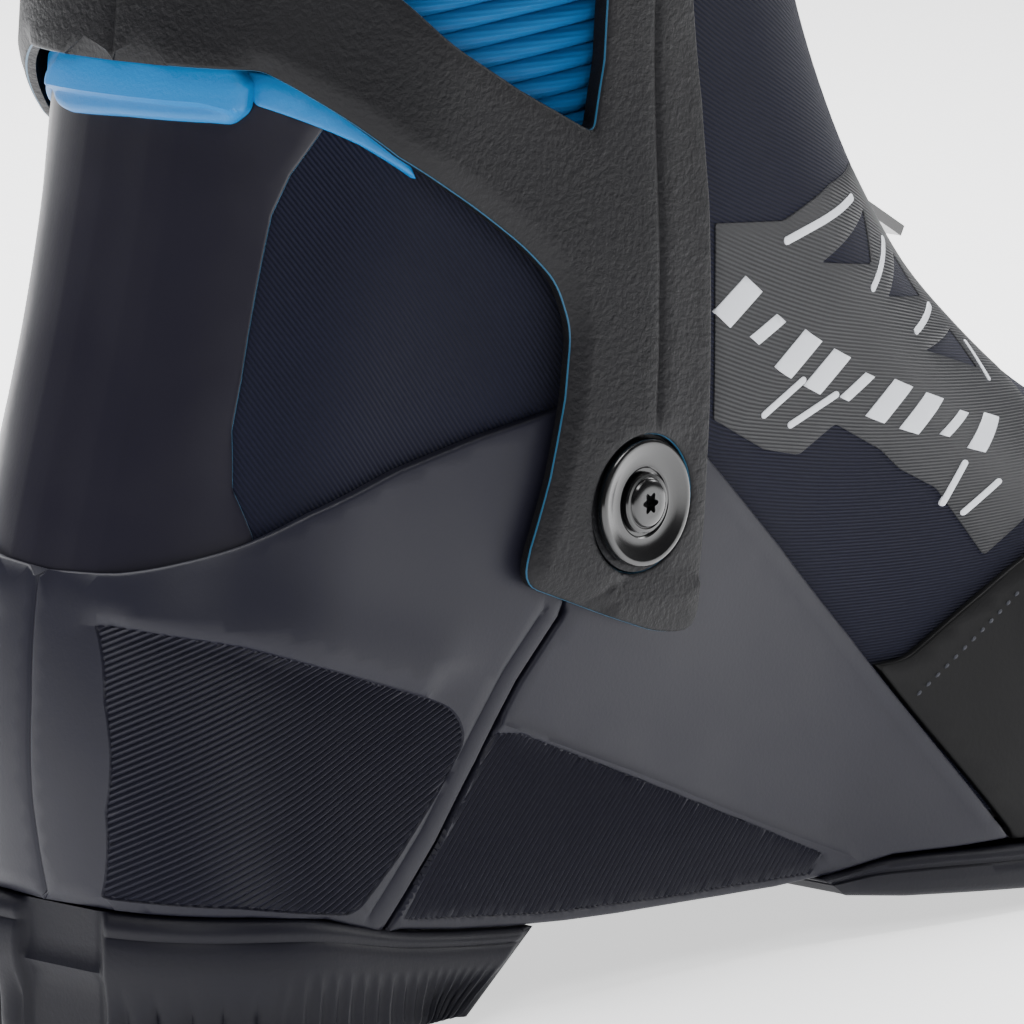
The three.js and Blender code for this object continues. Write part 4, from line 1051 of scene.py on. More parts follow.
# ---- Outsole ----
def footprint_outline(x_from, x_to, inset_by, steps=60):
    """Half outline of the sole seen from above, as [x, half width], from one x to another."""
    x = x_from + (x_to - x_from) * (1 - np.cos(np.linspace(0, math.pi, steps))) / 2
    return np.stack([x, np.maximum(half_width(x, sole_z(x) + 2) - inset_by, 0.3)], 1)


def skirt(name, outline, levels, material):
    """A closed block with upright sides. levels are its [x, y, z] rings, from the top down."""
    rings = [np.asarray(ring) for ring in levels]
    n = len(outline)
    verts = np.concatenate(rings)
    faces = []
    for k in range(len(rings) - 1):
        for i in range(n):
            j = (i + 1) % n
            faces.append((k * n + i, k * n + j, (k + 1) * n + j, (k + 1) * n + i))
    faces.append(tuple(range(n))[::-1])
    faces.append(tuple((len(rings) - 1) * n + i for i in range(n)))
    obj = new_mesh(name, place(verts), faces)
    material_list(obj, [material])
    return clean(obj, 40)


def closed_outline(half):
    lateral = np.stack([half[:, 0], centre_y(half[:, 0]) - half[:, 1]], 1)
    medial = np.stack([half[:, 0], centre_y(half[:, 0]) + half[:, 1]], 1)
    return np.concatenate([lateral, medial[::-1]])


def even_outline(outline, step):
    run = np.concatenate([[0], np.cumsum(np.linalg.norm(
        np.diff(np.vstack([outline, outline[:1]]), axis=0), axis=1))])
    at = np.arange(0, run[-1] - step / 2, step)
    x = np.interp(at, run, np.append(outline[:, 0], outline[0, 0]))
    y = np.interp(at, run, np.append(outline[:, 1], outline[0, 1]))
    return np.stack([x, y], 1)


def outward_of(outline):
    forward = np.roll(outline, -1, axis=0) - np.roll(outline, 1, axis=0)
    n = np.stack([forward[:, 1], -forward[:, 0]], 1)
    n /= np.maximum(np.linalg.norm(n, axis=1, keepdims=True), 1e-9)
    x, y = outline.T
    area = (x * np.roll(y, -1) - np.roll(x, -1) * y).sum()
    return n * np.sign(area)


HEEL_FRONT = 76
HEEL_SLOPE = 15  # how far the heel block's front face leans back on its way down


def heel_block():
    """The rubber heel: a rounded rand with a lip and soft upright flutes, sunk and stepped at the back."""
    half = footprint_outline(3.2, HEEL_FRONT, 0.2, 60)
    outline = even_outline(closed_outline(half), 0.45)
    n = outward_of(outline)
    run = np.arange(len(outline)) * 0.45
    x, y = outline.T
    at_front = ease((x - HEEL_FRONT + 3) / 3)
    lean = ease((x - 44) / 32)
    top = sole_z(x) + 0.2
    flutes = (0.5 + 0.5 * np.cos(run / 3.0 * 2 * math.pi)) ** 1.5 * ease((x - 16) / 12)
    knobs = np.abs(np.sin(run / 5.2 * math.pi)) ** 0.6 * ease((26 - x) / 8)
    panel = ease((9 - x) / 1.5) * ease((y + 12.8) / 1.6) * ease((6.0 - y) / 1.6)
    rings = []
    profile = [(0.0, -0.9), (0.015, -0.3), (0.05, 0.5), (0.09, 0.85), (0.125, 0.9), (0.145, 0.72),
               (0.16, 0.62),
               (0.175, 0.85), (0.24, 1.15), (0.32, 1.3), (0.38, 1.25), (0.42, 1.15), (0.5, 0.8), (0.6, 0.35),
               (0.7, 0.1), (0.78, 0.0), (0.86, 0.0), (0.92, -0.1), (0.97, -0.6), (1.0, -1.4)]
    for share, out in profile:
        ledge = 0.75 * math.exp(-((share - 0.42) / 0.05) ** 2)
        depth = out * (1 - panel) + panel * (-0.7 + ledge - 0.8 * float(ease((share - 0.44) / 0.1)))
        depth = depth + 0.75 * flutes * ease((share - 0.36) / 0.25) * (1 - panel)
        depth = depth - 1.3 * (1 - knobs) * ease((share - 0.55) / 0.12) * ease((26 - x) / 8) * (1 - panel)
        z = top * (1 - share) + 1.6 * share
        ring = outline + n * depth[:, None] * (1 - at_front)[:, None]
        ring[:, 0] -= lean * HEEL_SLOPE * share
        rings.append(np.column_stack([ring, z]))
    return skirt("heel_block", outline, rings, "rubber")


FOREFOOT_REAR, FOREFOOT_FRONT = 147.5, 298.5


def forefoot_block():
    """The forefoot's rubber, with its two guide grooves and the pocket of the toe bar cut out."""
    half = footprint_outline(FOREFOOT_REAR, FOREFOOT_FRONT, 0.3, 90)
    half[0, 1] = half[1, 1]
    outline = even_outline(closed_outline(half), 1.0)
    n = outward_of(outline)
    x = outline[:, 0]
    top = sole_z(x) - 0.2
    ground = np.interp(x, [141, 148, 160, 186, 214, 252, 276, 290, 300],
                       [9.0, 6.8, 5.2, 3.0, 1.4, 1.4, 3.6, 8.6, 15.5])
    rear = ease((FOREFOOT_REAR + 3 - x) / 3)
    ridges = (0.5 + 0.5 * np.cos(np.arange(len(outline)) * 1.0 / 4.2 * 2 * math.pi)) ** 2
    rings = []
    for share, out in [(0, -0.9), (0.05, -0.2), (0.12, 0.3), (0.22, 0.4), (0.3, -0.05), (0.34, -0.1),
                       (0.4, 0.35),
                       (0.6, 0.5), (0.8, 0.45), (0.92, 0.1), (1, -0.7)]:
        depth = out + 0.35 * ridges * ease((share - 0.45) / 0.2) * ease((x - 190) / 15)
        ring = outline + n * depth[:, None]
        ring[:, 0] -= rear * 5.5 * (1 - share) ** 1.5
        rings.append(np.column_stack([ring, top * (1 - share) + ground * share]))
    block = skirt("forefoot_block", outline, rings, "rubber")
    toe_y = float(centre_y(283))
    cut(block, [(269, 320, toe_y - 17, toe_y + 17, -5, 40)])
    for y in (-13, 13):
        steps = np.linspace(140, 262, 14)
        low, high = [np.column_stack([steps, centre_y(steps) + y + s]) for s in (-3.5, 3.5)]
        ring = np.concatenate([low, high[::-1]])
        depth = np.interp(ring[:, 0], [140, 200, 262], [6.6, 4.0, 4.0])
        tool = skirt("groove", ring, [np.column_stack([ring, depth]),
                     np.column_stack([ring, depth * 0 - 5])], "rubber")
        take_away(block, tool)
    return clean(block, 40)


def take_away(obj, tool):
    select_only(obj)
    cutter = obj.modifiers.new("cut", "BOOLEAN")
    cutter.operation = "DIFFERENCE"
    cutter.solver = "EXACT"
    cutter.object = tool
    bpy.ops.object.modifier_apply(modifier="cut")
    bpy.data.objects.remove(tool)


def cut(obj, boxes):
    for x0, x1, y0, y1, z0, z1 in boxes:
        middle = place([(x0 + x1) / 2, (y0 + y1) / 2, (z0 + z1) / 2])
        bpy.ops.mesh.primitive_cube_add(size=1, location=middle,
                                        scale=((x1 - x0) * MM, (y1 - y0) * MM, (z1 - z0) * MM))
        take_away(obj, bpy.context.object)


def lugs(name, places, size, lift, material="tread"):
    """Tread blocks under the sole: each a bevelled, tapered block. places are [x, y, top z, turn]."""
    bpy.ops.object.select_all(action="DESELECT")
    bpy.ops.mesh.primitive_cube_add(size=1, location=(0, 0, 0))
    block = bpy.context.object
    bpy.ops.object.mode_set(mode="EDIT")
    bpy.ops.mesh.bevel(offset=0.12, segments=1)
    bpy.ops.object.mode_set(mode="OBJECT")
    shape = np.array([tuple(v.co) for v in block.data.vertices])
    faces = [tuple(p.vertices) for p in block.data.polygons]
    bpy.data.objects.remove(block)
    taper = 1 - 0.12 * (0.5 - shape[:, 2:])
    shape = np.column_stack([shape[:, :2] * taper, shape[:, 2] - 0.5]) * np.array(size)
    verts, all_faces = [], []
    for x, y, z, turn in places:
        c, s = math.cos(turn), math.sin(turn)
        at = np.column_stack([shape[:, 0] * c - shape[:, 1] * s + x, shape[:, 0] * s + shape[:, 1] * c + y,
                              shape[:, 2] + z + lift])
        start = len(verts)
        verts += list(at)
        all_faces += [tuple(i + start for i in face) for face in faces]
    obj = new_mesh(name, place(verts), all_faces)
    material_list(obj, [material])
    return clean(obj, 30)


def heel_lugs():
    places = []
    for x in np.arange(14, 57, 7.2):
        width = float(np.interp(x, [8, 20, 60], [15, 25, 27]))
        for y in np.arange(-width + 4, width - 3, 8.2):
            places.append((x, y, 1.6, 0.35 if y < 0 else -0.35))
    return lugs("heel_lugs", places, (5.2, 6.2, 2.1), 0.45)


def forefoot_lugs():
    places = []
    for x in np.arange(204, 262, 7.6):
        middle = float(centre_y(x))
        width = float(np.interp(x, [186, 215, 262], [39, 44, 41])) - 4
        for y in np.arange(-width, width + 1, 6.4):
            if min(abs(y - 13), abs(y + 13)) > 6.8:
                places.append((x, middle + y, float(np.interp(x, [186, 214, 252], [3.0, 1.4, 1.4])),
                               0.3 if y < 0 else -0.3))
    return lugs("forefoot_lugs", places, (5.4, 4.8, 1.9), 0.4)


# ---- Turned hardware ----
def turned(name, profile, middle, side, material, steps=72, smooth_angle=35):
    """A turned part: profile is [radius, distance from the centre line], spun round the pivot's axis."""
    verts = [(r * MM, 0, h * MM) for r, h in profile]
    obj = new_mesh(name, verts, [])
    obj.data.edges.add(len(profile) - 1)
    for i, edge in enumerate(obj.data.edges):
        edge.vertices = (i, i + 1)
    select_only(obj)
    spin = obj.modifiers.new("spin", "SCREW")
    spin.steps = spin.render_steps = steps
    spin.use_merge_vertices = True
    spin.merge_threshold = 1e-6
    bpy.ops.object.modifier_apply(modifier="spin")
    co = np.array([tuple(v.co) for v in obj.data.vertices])
    turned_co = np.column_stack([co[:, 0], side * co[:, 2], co[:, 1]]) + place(middle)
    obj.data.vertices.foreach_set("co", turned_co.astype(np.float32).ravel())
    obj.data.update()
    material_list(obj, [material])
    return clean(obj, smooth_angle)


def lobed_tool(radius, lobe, low, high, middle, side, count=6):
    """A prism with a lobed section, for a screw's socket."""
    t = np.linspace(0, 2 * math.pi, 49)[:-1]
    r = radius + lobe * np.cos(count * t)
    ring = np.column_stack([r * np.cos(t), r * np.sin(t)]) * MM
    x, y, z = place(middle)
    verts = [(x + across, y + side * reach * MM, z + up) for reach in (low, high) for across, up in ring]
    n = len(ring)
    faces = [tuple(range(n)), tuple(range(n, 2 * n))[::-1]]
    faces += [(i, (i + 1) % n, n + (i + 1) % n, n + i) for i in range(n)]
    return clean(new_mesh("socket_tool", verts, faces))


SEAT = 41.5 + CUFF_OUT - 1.6 + 0.3  # where the pivot washers sit, from the centre line


def pivot_hardware(side, name):
    washer = turned(f"washer_{name}", [(2.9, SEAT), (9.95, SEAT), (10.0, SEAT + 0.15), (10.0, SEAT + 1.1),
                                       (9.8, SEAT + 1.45), (9.4, SEAT + 1.6), (8.9, SEAT + 1.5),
                                       (7.6, SEAT + 1.05),
                                       (6.2, SEAT + 0.8), (5.6, SEAT + 0.85), (5.35, SEAT + 0.7),
                                       (5.3, SEAT + 0.4),
                                       (2.9, SEAT + 0.4), (2.9, SEAT)], PIVOT, side, "black_metal")
    screw = turned(f"screw_{name}", [(0, SEAT - 4), (2.3, SEAT - 4), (2.3, SEAT + 0.5), (4.6, SEAT + 0.5),
                                     (4.75, SEAT + 0.7), (4.75, SEAT + 1.3), (4.5, SEAT + 1.55),
                                     (4.1, SEAT + 1.6),
                                     (3.9, SEAT + 1.45), (3.8, SEAT + 1.5), (3.6, SEAT + 1.95),
                                     (3.2, SEAT + 2.15),
                                     (2.2, SEAT + 2.15), (0, SEAT + 2.15)], PIVOT, side, "black_metal")
    take_away(screw, lobed_tool(1.45, 0.32, SEAT + 0.7, SEAT + 4, PIVOT, side))
    clean(screw, 30)
    floor = turned(f"recess_{name}", [(2.9, SEAT - 2.3), (10.9, SEAT - 2.3), (10.9, SEAT - 0.25),
                                      (2.9, SEAT - 0.25),
                                      (2.9, SEAT - 2.3)], PIVOT, side, "cuff")
    return washer, screw, floor


# ---- Webbing ----
def side_line(z, side, rear, until, offset, steps):
    """One side of the shaft's outline at height z, from x = rear to x = until, moved out by offset(x)."""
    front = float(INSTEP_LINE[np.abs(INSTEP_LINE[:, 1] - z).argmin(), 0])
    reach = INSTEP_ROUND[0]
    bend = front - reach

    def length_at(x):
        return x - bend if x < bend else reach * math.asin(min((x - bend) / reach, 1))

    def at(s):
        x = bend + s if s < 0 else bend + reach * math.sin(min(s / reach, math.pi / 2))
        return np.array([x, float(centre_y(x)) + side * float(half_width(np.array([min(x, front - 1e-4)]),
                                                                         np.array([z]))[0])])

    line = []
    for s in np.linspace(length_at(rear), length_at(until), steps + 1):
        along = at(s + 0.5) - at(s - 0.5)
        if along @ along < 1e-3:
            along = np.array([0.0, -side])
        n = np.array([-along[1], along[0]]) * side
        n /= np.linalg.norm(n)
        p = at(s)
        if s + 0.5 > reach * math.pi / 2:
            line.append(p + [offset(p[0]), 0])
        else:
            line.append(p + n * offset(p[0]))
    return np.array(line)


def arc(middle, radius, start, end, steps):
    t = np.radians(np.linspace(start, end, steps + 1))
    return np.column_stack([middle[0] + radius * np.cos(t), middle[1] + radius * np.sin(t)])


def ribbon(name, lower, upper, low, high, thick, material="webbing", round_by=0.55):
    """A flat band on edge. lower and upper are the [x, y] lines of its edges, and lie on its inner face."""
    forward = np.gradient((lower + upper) / 2, axis=0)
    n = np.column_stack([-forward[:, 1], forward[:, 0]])
    n /= np.maximum(np.linalg.norm(n, axis=1, keepdims=True), 1e-9)
    high_share = round_by / (high - low)
    section = [(0, 0.3), (0.35 * high_share, 0.08), (high_share, 0), (0.12, -0.02), (0.5, 0), (0.88, -0.02),
               (1 - high_share, 0), (1 - 0.35 * high_share, 0.08), (1,
                0.3), (1, 0.7), (1 - 0.35 * high_share, 0.92),
               (1 - high_share, 1), (0.93, 1), (0.91, 0.9), (0.89, 1.02), (0.5, 1.04), (0.11, 1.02),
               (0.09, 0.9),
               (0.07, 1), (high_share, 1), (0.35 * high_share, 0.92), (0, 0.7)]
    verts, uvs = [], []
    run = np.concatenate([[0], np.cumsum(np.linalg.norm(np.diff(lower, axis=0), axis=1))])
    for a, b, nn, s in zip(lower, upper, n, run):
        for up, out in section:
            xy = a + (b - a) * up + nn * out * thick
            verts.append((xy[0], xy[1], low + (high - low) * up))
            uvs.append((s * MM, (high - low) * up * MM))
    k = len(section)
    faces = [(i * k + j, i * k + (j + 1) % k, (i + 1) * k + (j + 1) % k, (i + 1) * k + j)
             for i in range(len(lower) - 1) for j in range(k)]
    faces += [tuple(range(k))[::-1], tuple((len(lower) - 1) * k + j for j in range(k))]
    obj = new_mesh(name, place(verts), faces, uvs)
    material_list(obj, [material])
    return clean(obj, 45)


STRAP = {"low": 177, "high": 197, "thick": 2.0}
RING_AT = {"front": 113, "rear": 101, "bar": 1.3, "room": 0.7, "over": 2.5}
ON_CUFF = CUFF_OUT + 0.8
RING_Y = (JOINTS["strap_open"]["pos_m"][1] - ORIGIN[1]) / MM


def strap_offset(x):
    return ON_CUFF - (ON_CUFF + 1.2) * float(ease((x - 127) / 14))


def straps():
    low, high, thick = STRAP["low"], STRAP["high"], STRAP["thick"]
    front, rear = RING_AT["front"], RING_AT["rear"]

    def strap_line(z):
        line = np.concatenate([side_line(z, 1, 82, 400, strap_offset, 40),
                               side_line(z, -1, front, 400, strap_offset, 34)[::-1][1:]])
        return np.concatenate([line[:-1], arc((front, RING_Y), line[-1, 1] - RING_Y, 90, 270, 16)])

    def end_line(z):
        def offset(x):
            return strap_offset(x) + thick + 0.8 + 3.2 * (1 - float(ease((x - front) / 14)))
        return side_line(z, -1, 119, 140, offset, 20)[::-1]

    def keeper_line(z):
        def outer(x):
            return ON_CUFF + 2 * thick + 0.4 + 4.2 * float(ease((x - 93.5) / 6))
        inner = side_line(z, -1, 82, rear, lambda x: ON_CUFF, 12)
        return np.concatenate([side_line(z, -1, 82, rear - 1, outer, 14),
                               arc((rear, RING_Y), inner[-1, 1] - RING_Y, 270, 450, 16), inner[:-1][::-1]])

    made = []
    for name, line in (("strap_webbing", strap_line), ("strap_loose_end",
                       end_line), ("keeper_webbing", keeper_line)):
        made.append(ribbon(name, line(low), line(high), low, high, thick - 0.08))
    return made


def wire_ring():
    """The strap's ring: a round bar bent to a rounded rectangle."""
    low, high = STRAP["low"] - RING_AT["over"], STRAP["high"] + RING_AT["over"]
    rear, front = RING_AT["rear"], RING_AT["front"]
    loop = corners([(rear, low, 3), (front, low, 3), (front, high, 3), (rear, high, 3)], step=1)
    k = 12
    verts = []
    forward = np.roll(loop, -1, axis=0) - np.roll(loop, 1, axis=0)
    forward /= np.linalg.norm(forward, axis=1, keepdims=True)
    for (x, z), (fx, fz) in zip(loop, forward):
        for t in np.linspace(0, 2 * math.pi, k + 1)[:-1]:
            out, along = RING_AT["bar"] * math.cos(t), RING_AT["bar"] * math.sin(t)
            verts.append((x + fz * out, RING_Y + along, z - fx * out))
    n = len(loop)
    faces = [(i * k + j, i * k + (j + 1) % k, ((i + 1) % n) * k + (j + 1) % k, ((i + 1) % n) * k + j)
             for i in range(n) for j in range(k)]
    obj = new_mesh("ring_wire", place(verts), faces)
    material_list(obj, ["steel"])
    return clean(obj, 60)


def rivet(side, name, webbing):
    surface = float(half_width(np.array([89.0]), np.array([187.0]))[0])
    inside, outside = surface + CUFF_IN - 0.4, surface + ON_CUFF + webbing + 0.3
    profile = [(0, inside - 1), (3.8, inside - 1), (4, inside - 0.7), (4, inside), (2.2, inside),
               (2.2, outside),
               (4.0, outside), (4.2, outside + 0.3), (4.1, outside + \
                0.8), (3.6, outside + 1.3), (2.6, outside + 1.6),
               (2.2, outside + 1.35), (1.6, outside + 1.3), (0, outside + 1.3)]
    return turned(f"rivet_{name}", profile, (89, 0, 187), side, "black_metal", steps=40)


# ---- Soft parts ----
def collar_liner():
    """The padded collar: ribbed where it shows through the cuff's windows, with a rounded upper rim."""
    half = [(16.6, 211.5), (96, 211.5, 13), (95, 170), (93, 140), (88, 112), (80, 116), (66, 124), (50, 135),
            (34, 146), (22, 149)]
    loop = wrap_loop(RING, half)
    rib = 3.4

    def relief(places):
        at = np.abs(places[:, 0])
        q = places[:, 1] - 0.10 * at
        across = (q / rib) % 1
        shown = ease((at - 36) / 6) * ease((204 - places[:, 1]) / 5)
        channel = -0.8 * np.exp(-((at - 20) / 1.4) ** 2) * ease((206 - places[:, 1]) / 5)
        roll = 1.3 * np.exp(-((places[:, 1] - 207.5) / 3.2) ** 2)
        return 1.3 * np.sin(math.pi * across) ** 0.6 * shown + channel + roll

    extra = []
    at = np.arange(34, 122, 3.0)
    for line in np.arange(rib * 33, 206, rib / 6):
        chain = np.column_stack([at, line + 0.10 * at])
        chain = chain[(chain[:, 1] < 206) & (chain[:, 1] > 124)]
        if len(chain) > 1:
            extra += [chain, mirrored(chain)]
    return patch("collar_liner_padded", RING, [loop], -1.1, -6.0,
                 "blue_knit", relief, rim=2.2, pitch=3.6, extra=extra)


def achilles_pad():
    """The pad under the cuff's rear edge: a rounded upper band over a thin lip, its outer end hooked down."""
    loop = corners([(-19.5, 152), (-22.4, 148.6, 1), (-22.2, 144.4, 1.2), (-19.6, 142.3, 1),
                    (-16, 142.4, 1), (0, 142.2),
                    (12, 141.6, 1.5), (16.2, 142.6, 1.8), (17.4, 146.5, 1.5), (14.5, 150, 1), (14, 152)],
                    step=0.7)

    def relief(places):
        lip = 144.4 - 0.9 * ease((np.abs(places[:, 0]) - 15) / 6)
        upper = ease((places[:, 1] - lip) / 0.9)
        return -1.5 * (1 - upper) - 0.4 * ease((places[:, 1] - 147.5) / 3)

    at = np.arange(-21, 17, 1.4)
    line = 144.4 - 0.9 * ease((np.abs(at) - 15) / 6)
    extra = [np.column_stack([at, line + shift]) for shift in (-0.2, 0.15, 0.45, 0.9)]
    return patch("achilles_pad_moulded", RING, [loop], 3.6, -0.8,
                 "blue_pad", relief, rim=1.4, pitch=1.5, extra=extra)


def blue_wedges():
    """The thin end of the blue liner, seen between the cuff's edge and the softshell."""
    pieces = []
    outline = [(25, 151), (33, 148.5), (44, 140), (47, 133.4, 0.3), (38, 139.2), (27, 145.2, 0.3)]
    for (_, name), loop in zip(SIDES, both(side_loop(RING, outline, LATERAL))):
        pieces.append(patch(f"liner_wedge_{name}", RING, [loop], -0.4, -1.8, "blue_pad", rim=0.5, pitch=2.5))
    return pieces


def lining_rear():
    half = [(14, 150), (28, 146), (50, 133), (72, 120), (90, 104), (90, 26), (60, 27), (20, 32), (4, 33)]
    loop = wrap_loop(RING, half)
    return patch("sock_rear", RING, [loop], LINING_OUT, LINING_IN, "lining", pitch=5, rim=0.9)


def lining_front():
    outer = []
    for x, z in [(88, 106), (88, 60), (88, 26), (120, 23), (160, 22), (200, 21), (250, 21), (280, 25)]:
        outer.append(HOOP.at_side([x], [z], LATERAL)[0])
    outer = np.array(outer)
    last = HOOP.length - 8
    outer = outer[outer[:, 0] < last]
    first = outer[0]
    half = np.concatenate([[[last, -6]], outer[::-1]])
    inner = np.array([[first[0], -17], [HOOP.at_side([205], [80], LATERAL)[0][0], -15]])
    throat_end = inner[-1, 0] + 8
    half = np.concatenate([half, inner, [[throat_end, -8]]])
    loop = np.concatenate([half, (half * [1, -1])[::-1]])
    return patch("sock_front", HOOP, [corners(loop, step=2)],
                 LINING_OUT, LINING_IN, "lining", pitch=5, rim=0.9)


def shaft_lining():
    """The lining inside the front of the shaft."""
    line = np.array([HOOP.at_side([x], [z], LATERAL)[0]
                    for x, z in [(92, 209), (92, 180), (92, 150), (94, 120), (104, 112)]])
    base = line[-1, 0]
    half = np.concatenate([line, [[base + 8, -30], [base + 8, 0]]])
    mouth = [(6.2, 14), (8.5, 0), (8.5, 0)]
    loop = np.concatenate([half, (half * [1, -1])[::-1][1:], mouth])
    return patch("shaft_lining_knit", HOOP, [corners(loop, step=2)],
                 LINING_OUT, LINING_IN, "lining", pitch=5, rim=0.9)


def tongue():
    a = HOOP.at_side([124], [118], LATERAL)[0][0]
    b = HOOP.at_side([228], [66], LATERAL)[0][0]
    loop = corners([(a, -24, 6), (b, -20, 8), (b, 20, 8), (a, 24, 6)], step=2)

    def relief(places):
        across = (places[:, 0] / 14) % 1
        return 0.9 * np.sin(math.pi * across) ** 0.6 * ease((18 - np.abs(places[:, 1])) / 4) - 0.9

    return patch("tongue_quilted", HOOP, [loop], -9.6, -12.1, "lining", relief, pitch=2.6, rim=1.0)


def footbed():
    """The insole under the foot: a cupped, rounded sheet of foam seen down through the mouth."""
    half = footprint_outline(9, 283, 8.2, 50)
    outline = even_outline(closed_outline(half), 3)
    n = outward_of(outline)
    x = outline[:, 0]
    low = sole_z(x) + 6.6
    rings = []
    for share, out in [(0, 0), (0.25, 0.8), (0.6, 1.1), (0.85, 0.6), (1, -0.4)]:
        ring = outline + n * out
        rings.append(np.column_stack([ring, low + 3.7 * (1 - share)]))
    inner = []
    for shrink, down in ((2.4, 0.5), (6, 1.0)):
        ring = outline - n * shrink
        inner.append(np.column_stack([ring, low + 3.7 - down]))
    return skirt("footbed_foam", outline, inner[::-1] + rings, "lining")


def pull_loop():
    """The webbing loop on the back of the collar."""
    low, high = [np.array(corner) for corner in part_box("pull_loop")]
    low, high = (low - ORIGIN) / MM, (high - ORIGIN) / MM
    width = high[1] - low[1]
    web, thick = 4.5, 1.5
    radius = (width - web) / 2
    middle_y = (low[1] + high[1]) / 2
    lean = math.atan2(high[0] - low[0] - thick, high[2] - low[2])
    leg = (high[2] - low[2]) - width / 2
    t = np.linspace(0, math.pi, 25)
    path = ([(-radius, h) for h in np.linspace(0, leg, 12)[:-1]]
            + [(-radius * math.cos(a), leg + radius * math.sin(a)) for a in t]
            + [(radius, h) for h in np.linspace(leg, 0, 12)[1:]])
    path = np.array(path)
    forward = np.gradient(path, axis=0)
    forward /= np.linalg.norm(forward, axis=1, keepdims=True)
    section = []
    for a in np.linspace(0, 2 * math.pi, 21)[:-1]:
        c, s = math.cos(a), math.sin(a)
        section.append((web / 2 * math.copysign(abs(c) ** 0.4, c),
                        thick / 2 * math.copysign(abs(s) ** 0.5, s)))
    verts, uvs = [], []
    run = 0
    for i, ((y, h), (fy, fh)) in enumerate(zip(path, forward)):
        run += np.linalg.norm(path[i] - path[i - 1]) if i else 0
        for across, out in section:
            yy, hh = y + fh * across, h - fy * across
            x = out * math.cos(lean) - hh * math.sin(lean)
            verts.append((high[0] - thick * 0.6 + x,
                          middle_y + yy,
                          low[2] + hh * math.cos(lean) + out * math.sin(lean)))
            uvs.append((run * MM, across * MM))
    k = len(section)
    faces = [(i * k + j, i * k + (j + 1) % k, (i + 1) * k + (j + 1) % k, (i + 1) * k + j)
             for i in range(len(path) - 1) for j in range(k)]
    faces += [tuple(range(k))[::-1], tuple((len(path) - 1) * k + j for j in range(k))]
    obj = new_mesh("heel_pull_loop", place(verts), faces, uvs)
    material_list(obj, ["webbing"])
    return clean(obj, 45)


def loop_tab():
    """The stitched webbing that holds the pull loop's ends to the collar."""
    loop = corners([(-12.5, 198.5, 1), (12.5, 198.5, 1), (12.5, 207, 1), (-12.5, 207, 1)], step=1.2)
    tab = patch("pull_loop_tab", RING, [loop], 3.1, -0.6, "webbing", rim=0.5, pitch=2)
    rows = [np.array([(-11, q), (11, q)], float) for q in (200, 205.5)]
    return [tab, stitches("pull_loop_stitches", RING, rows, 3.15)]


# ---- Zip ----
def zip_tape():
    a = HOOP.at_side([124.5], [132], LATERAL)[0][0]
    b = HOOP.at_side([217], [75], LATERAL)[0][0]
    pieces = []
    for side, name in SIDES:
        loop = corners([(a, side * 0.5, 0), (b, side * 0.5, 0),
                       (b, side * 6.5, 1), (a, side * 6.5, 1)], step=2)
        pieces.append(patch(f"zip_tape_{name}", HOOP, [loop], -1.75, -2.6, "webbing", rim=0.3, pitch=2))
    return pieces


def zip_teeth():
    """The zip's teeth, in two rows that mesh on the middle line."""
    a = HOOP.at_side([125.5], [130], LATERAL)[0][0]
    b = HOOP.at_side([216], [76], LATERAL)[0][0]
    shape = np.array([(x, y, z) for x in (-1, 1) for y in (-1, 1) for z in (-1, 1)], float)
    faces = [(0, 1, 3, 2), (4, 6, 7, 5), (0, 4, 5, 1), (2, 3, 7, 6), (0, 2, 6, 4), (1, 5, 7, 3)]
    verts, all_faces = [], []
    for i, p in enumerate(np.arange(a, b, 0.85)):
        side = 1 if i % 2 else -1
        at = np.array([p]), np.array([side * 0.75])
        base, n = HOOP.point(*at)[0], HOOP.normal(*at)[0]
        along = HOOP.point(at[0] + 0.5, at[1])[0] - base
        along /= np.linalg.norm(along)
        across = np.cross(n, along)
        box = shape * [0.32, 1.35, 0.38]
        start = len(verts)
        verts += [base + along * v[0] + across * v[1] + n * (v[2] - 1.45) for v in box]
        all_faces += [tuple(j + start for j in face) for face in faces]
    obj = new_mesh("zip_teeth", place(verts), all_faces)
    material_list(obj, ["hard_plastic"])
    return clean(obj, 30)


def bevelled_cad(name, source, material, width):
    """A finer copy of a small hard part: its edges are rounded."""
    node = frame["nodes"][source]
    obj = bpy.data.objects.new(name, node.data.copy())
    bpy.context.collection.objects.link(obj)
    obj.data.materials.clear()
    material_list(obj, [material])
    clean(obj, 30)
    select_only(obj)
    bevel = obj.modifiers.new("bevel", "BEVEL")
    bevel.width = width
    bevel.segments = 2
    bevel.limit_method = "ANGLE"
    bevel.angle_limit = math.radians(35)
    bpy.ops.object.modifier_apply(modifier="bevel")
    return clean(obj, 35)


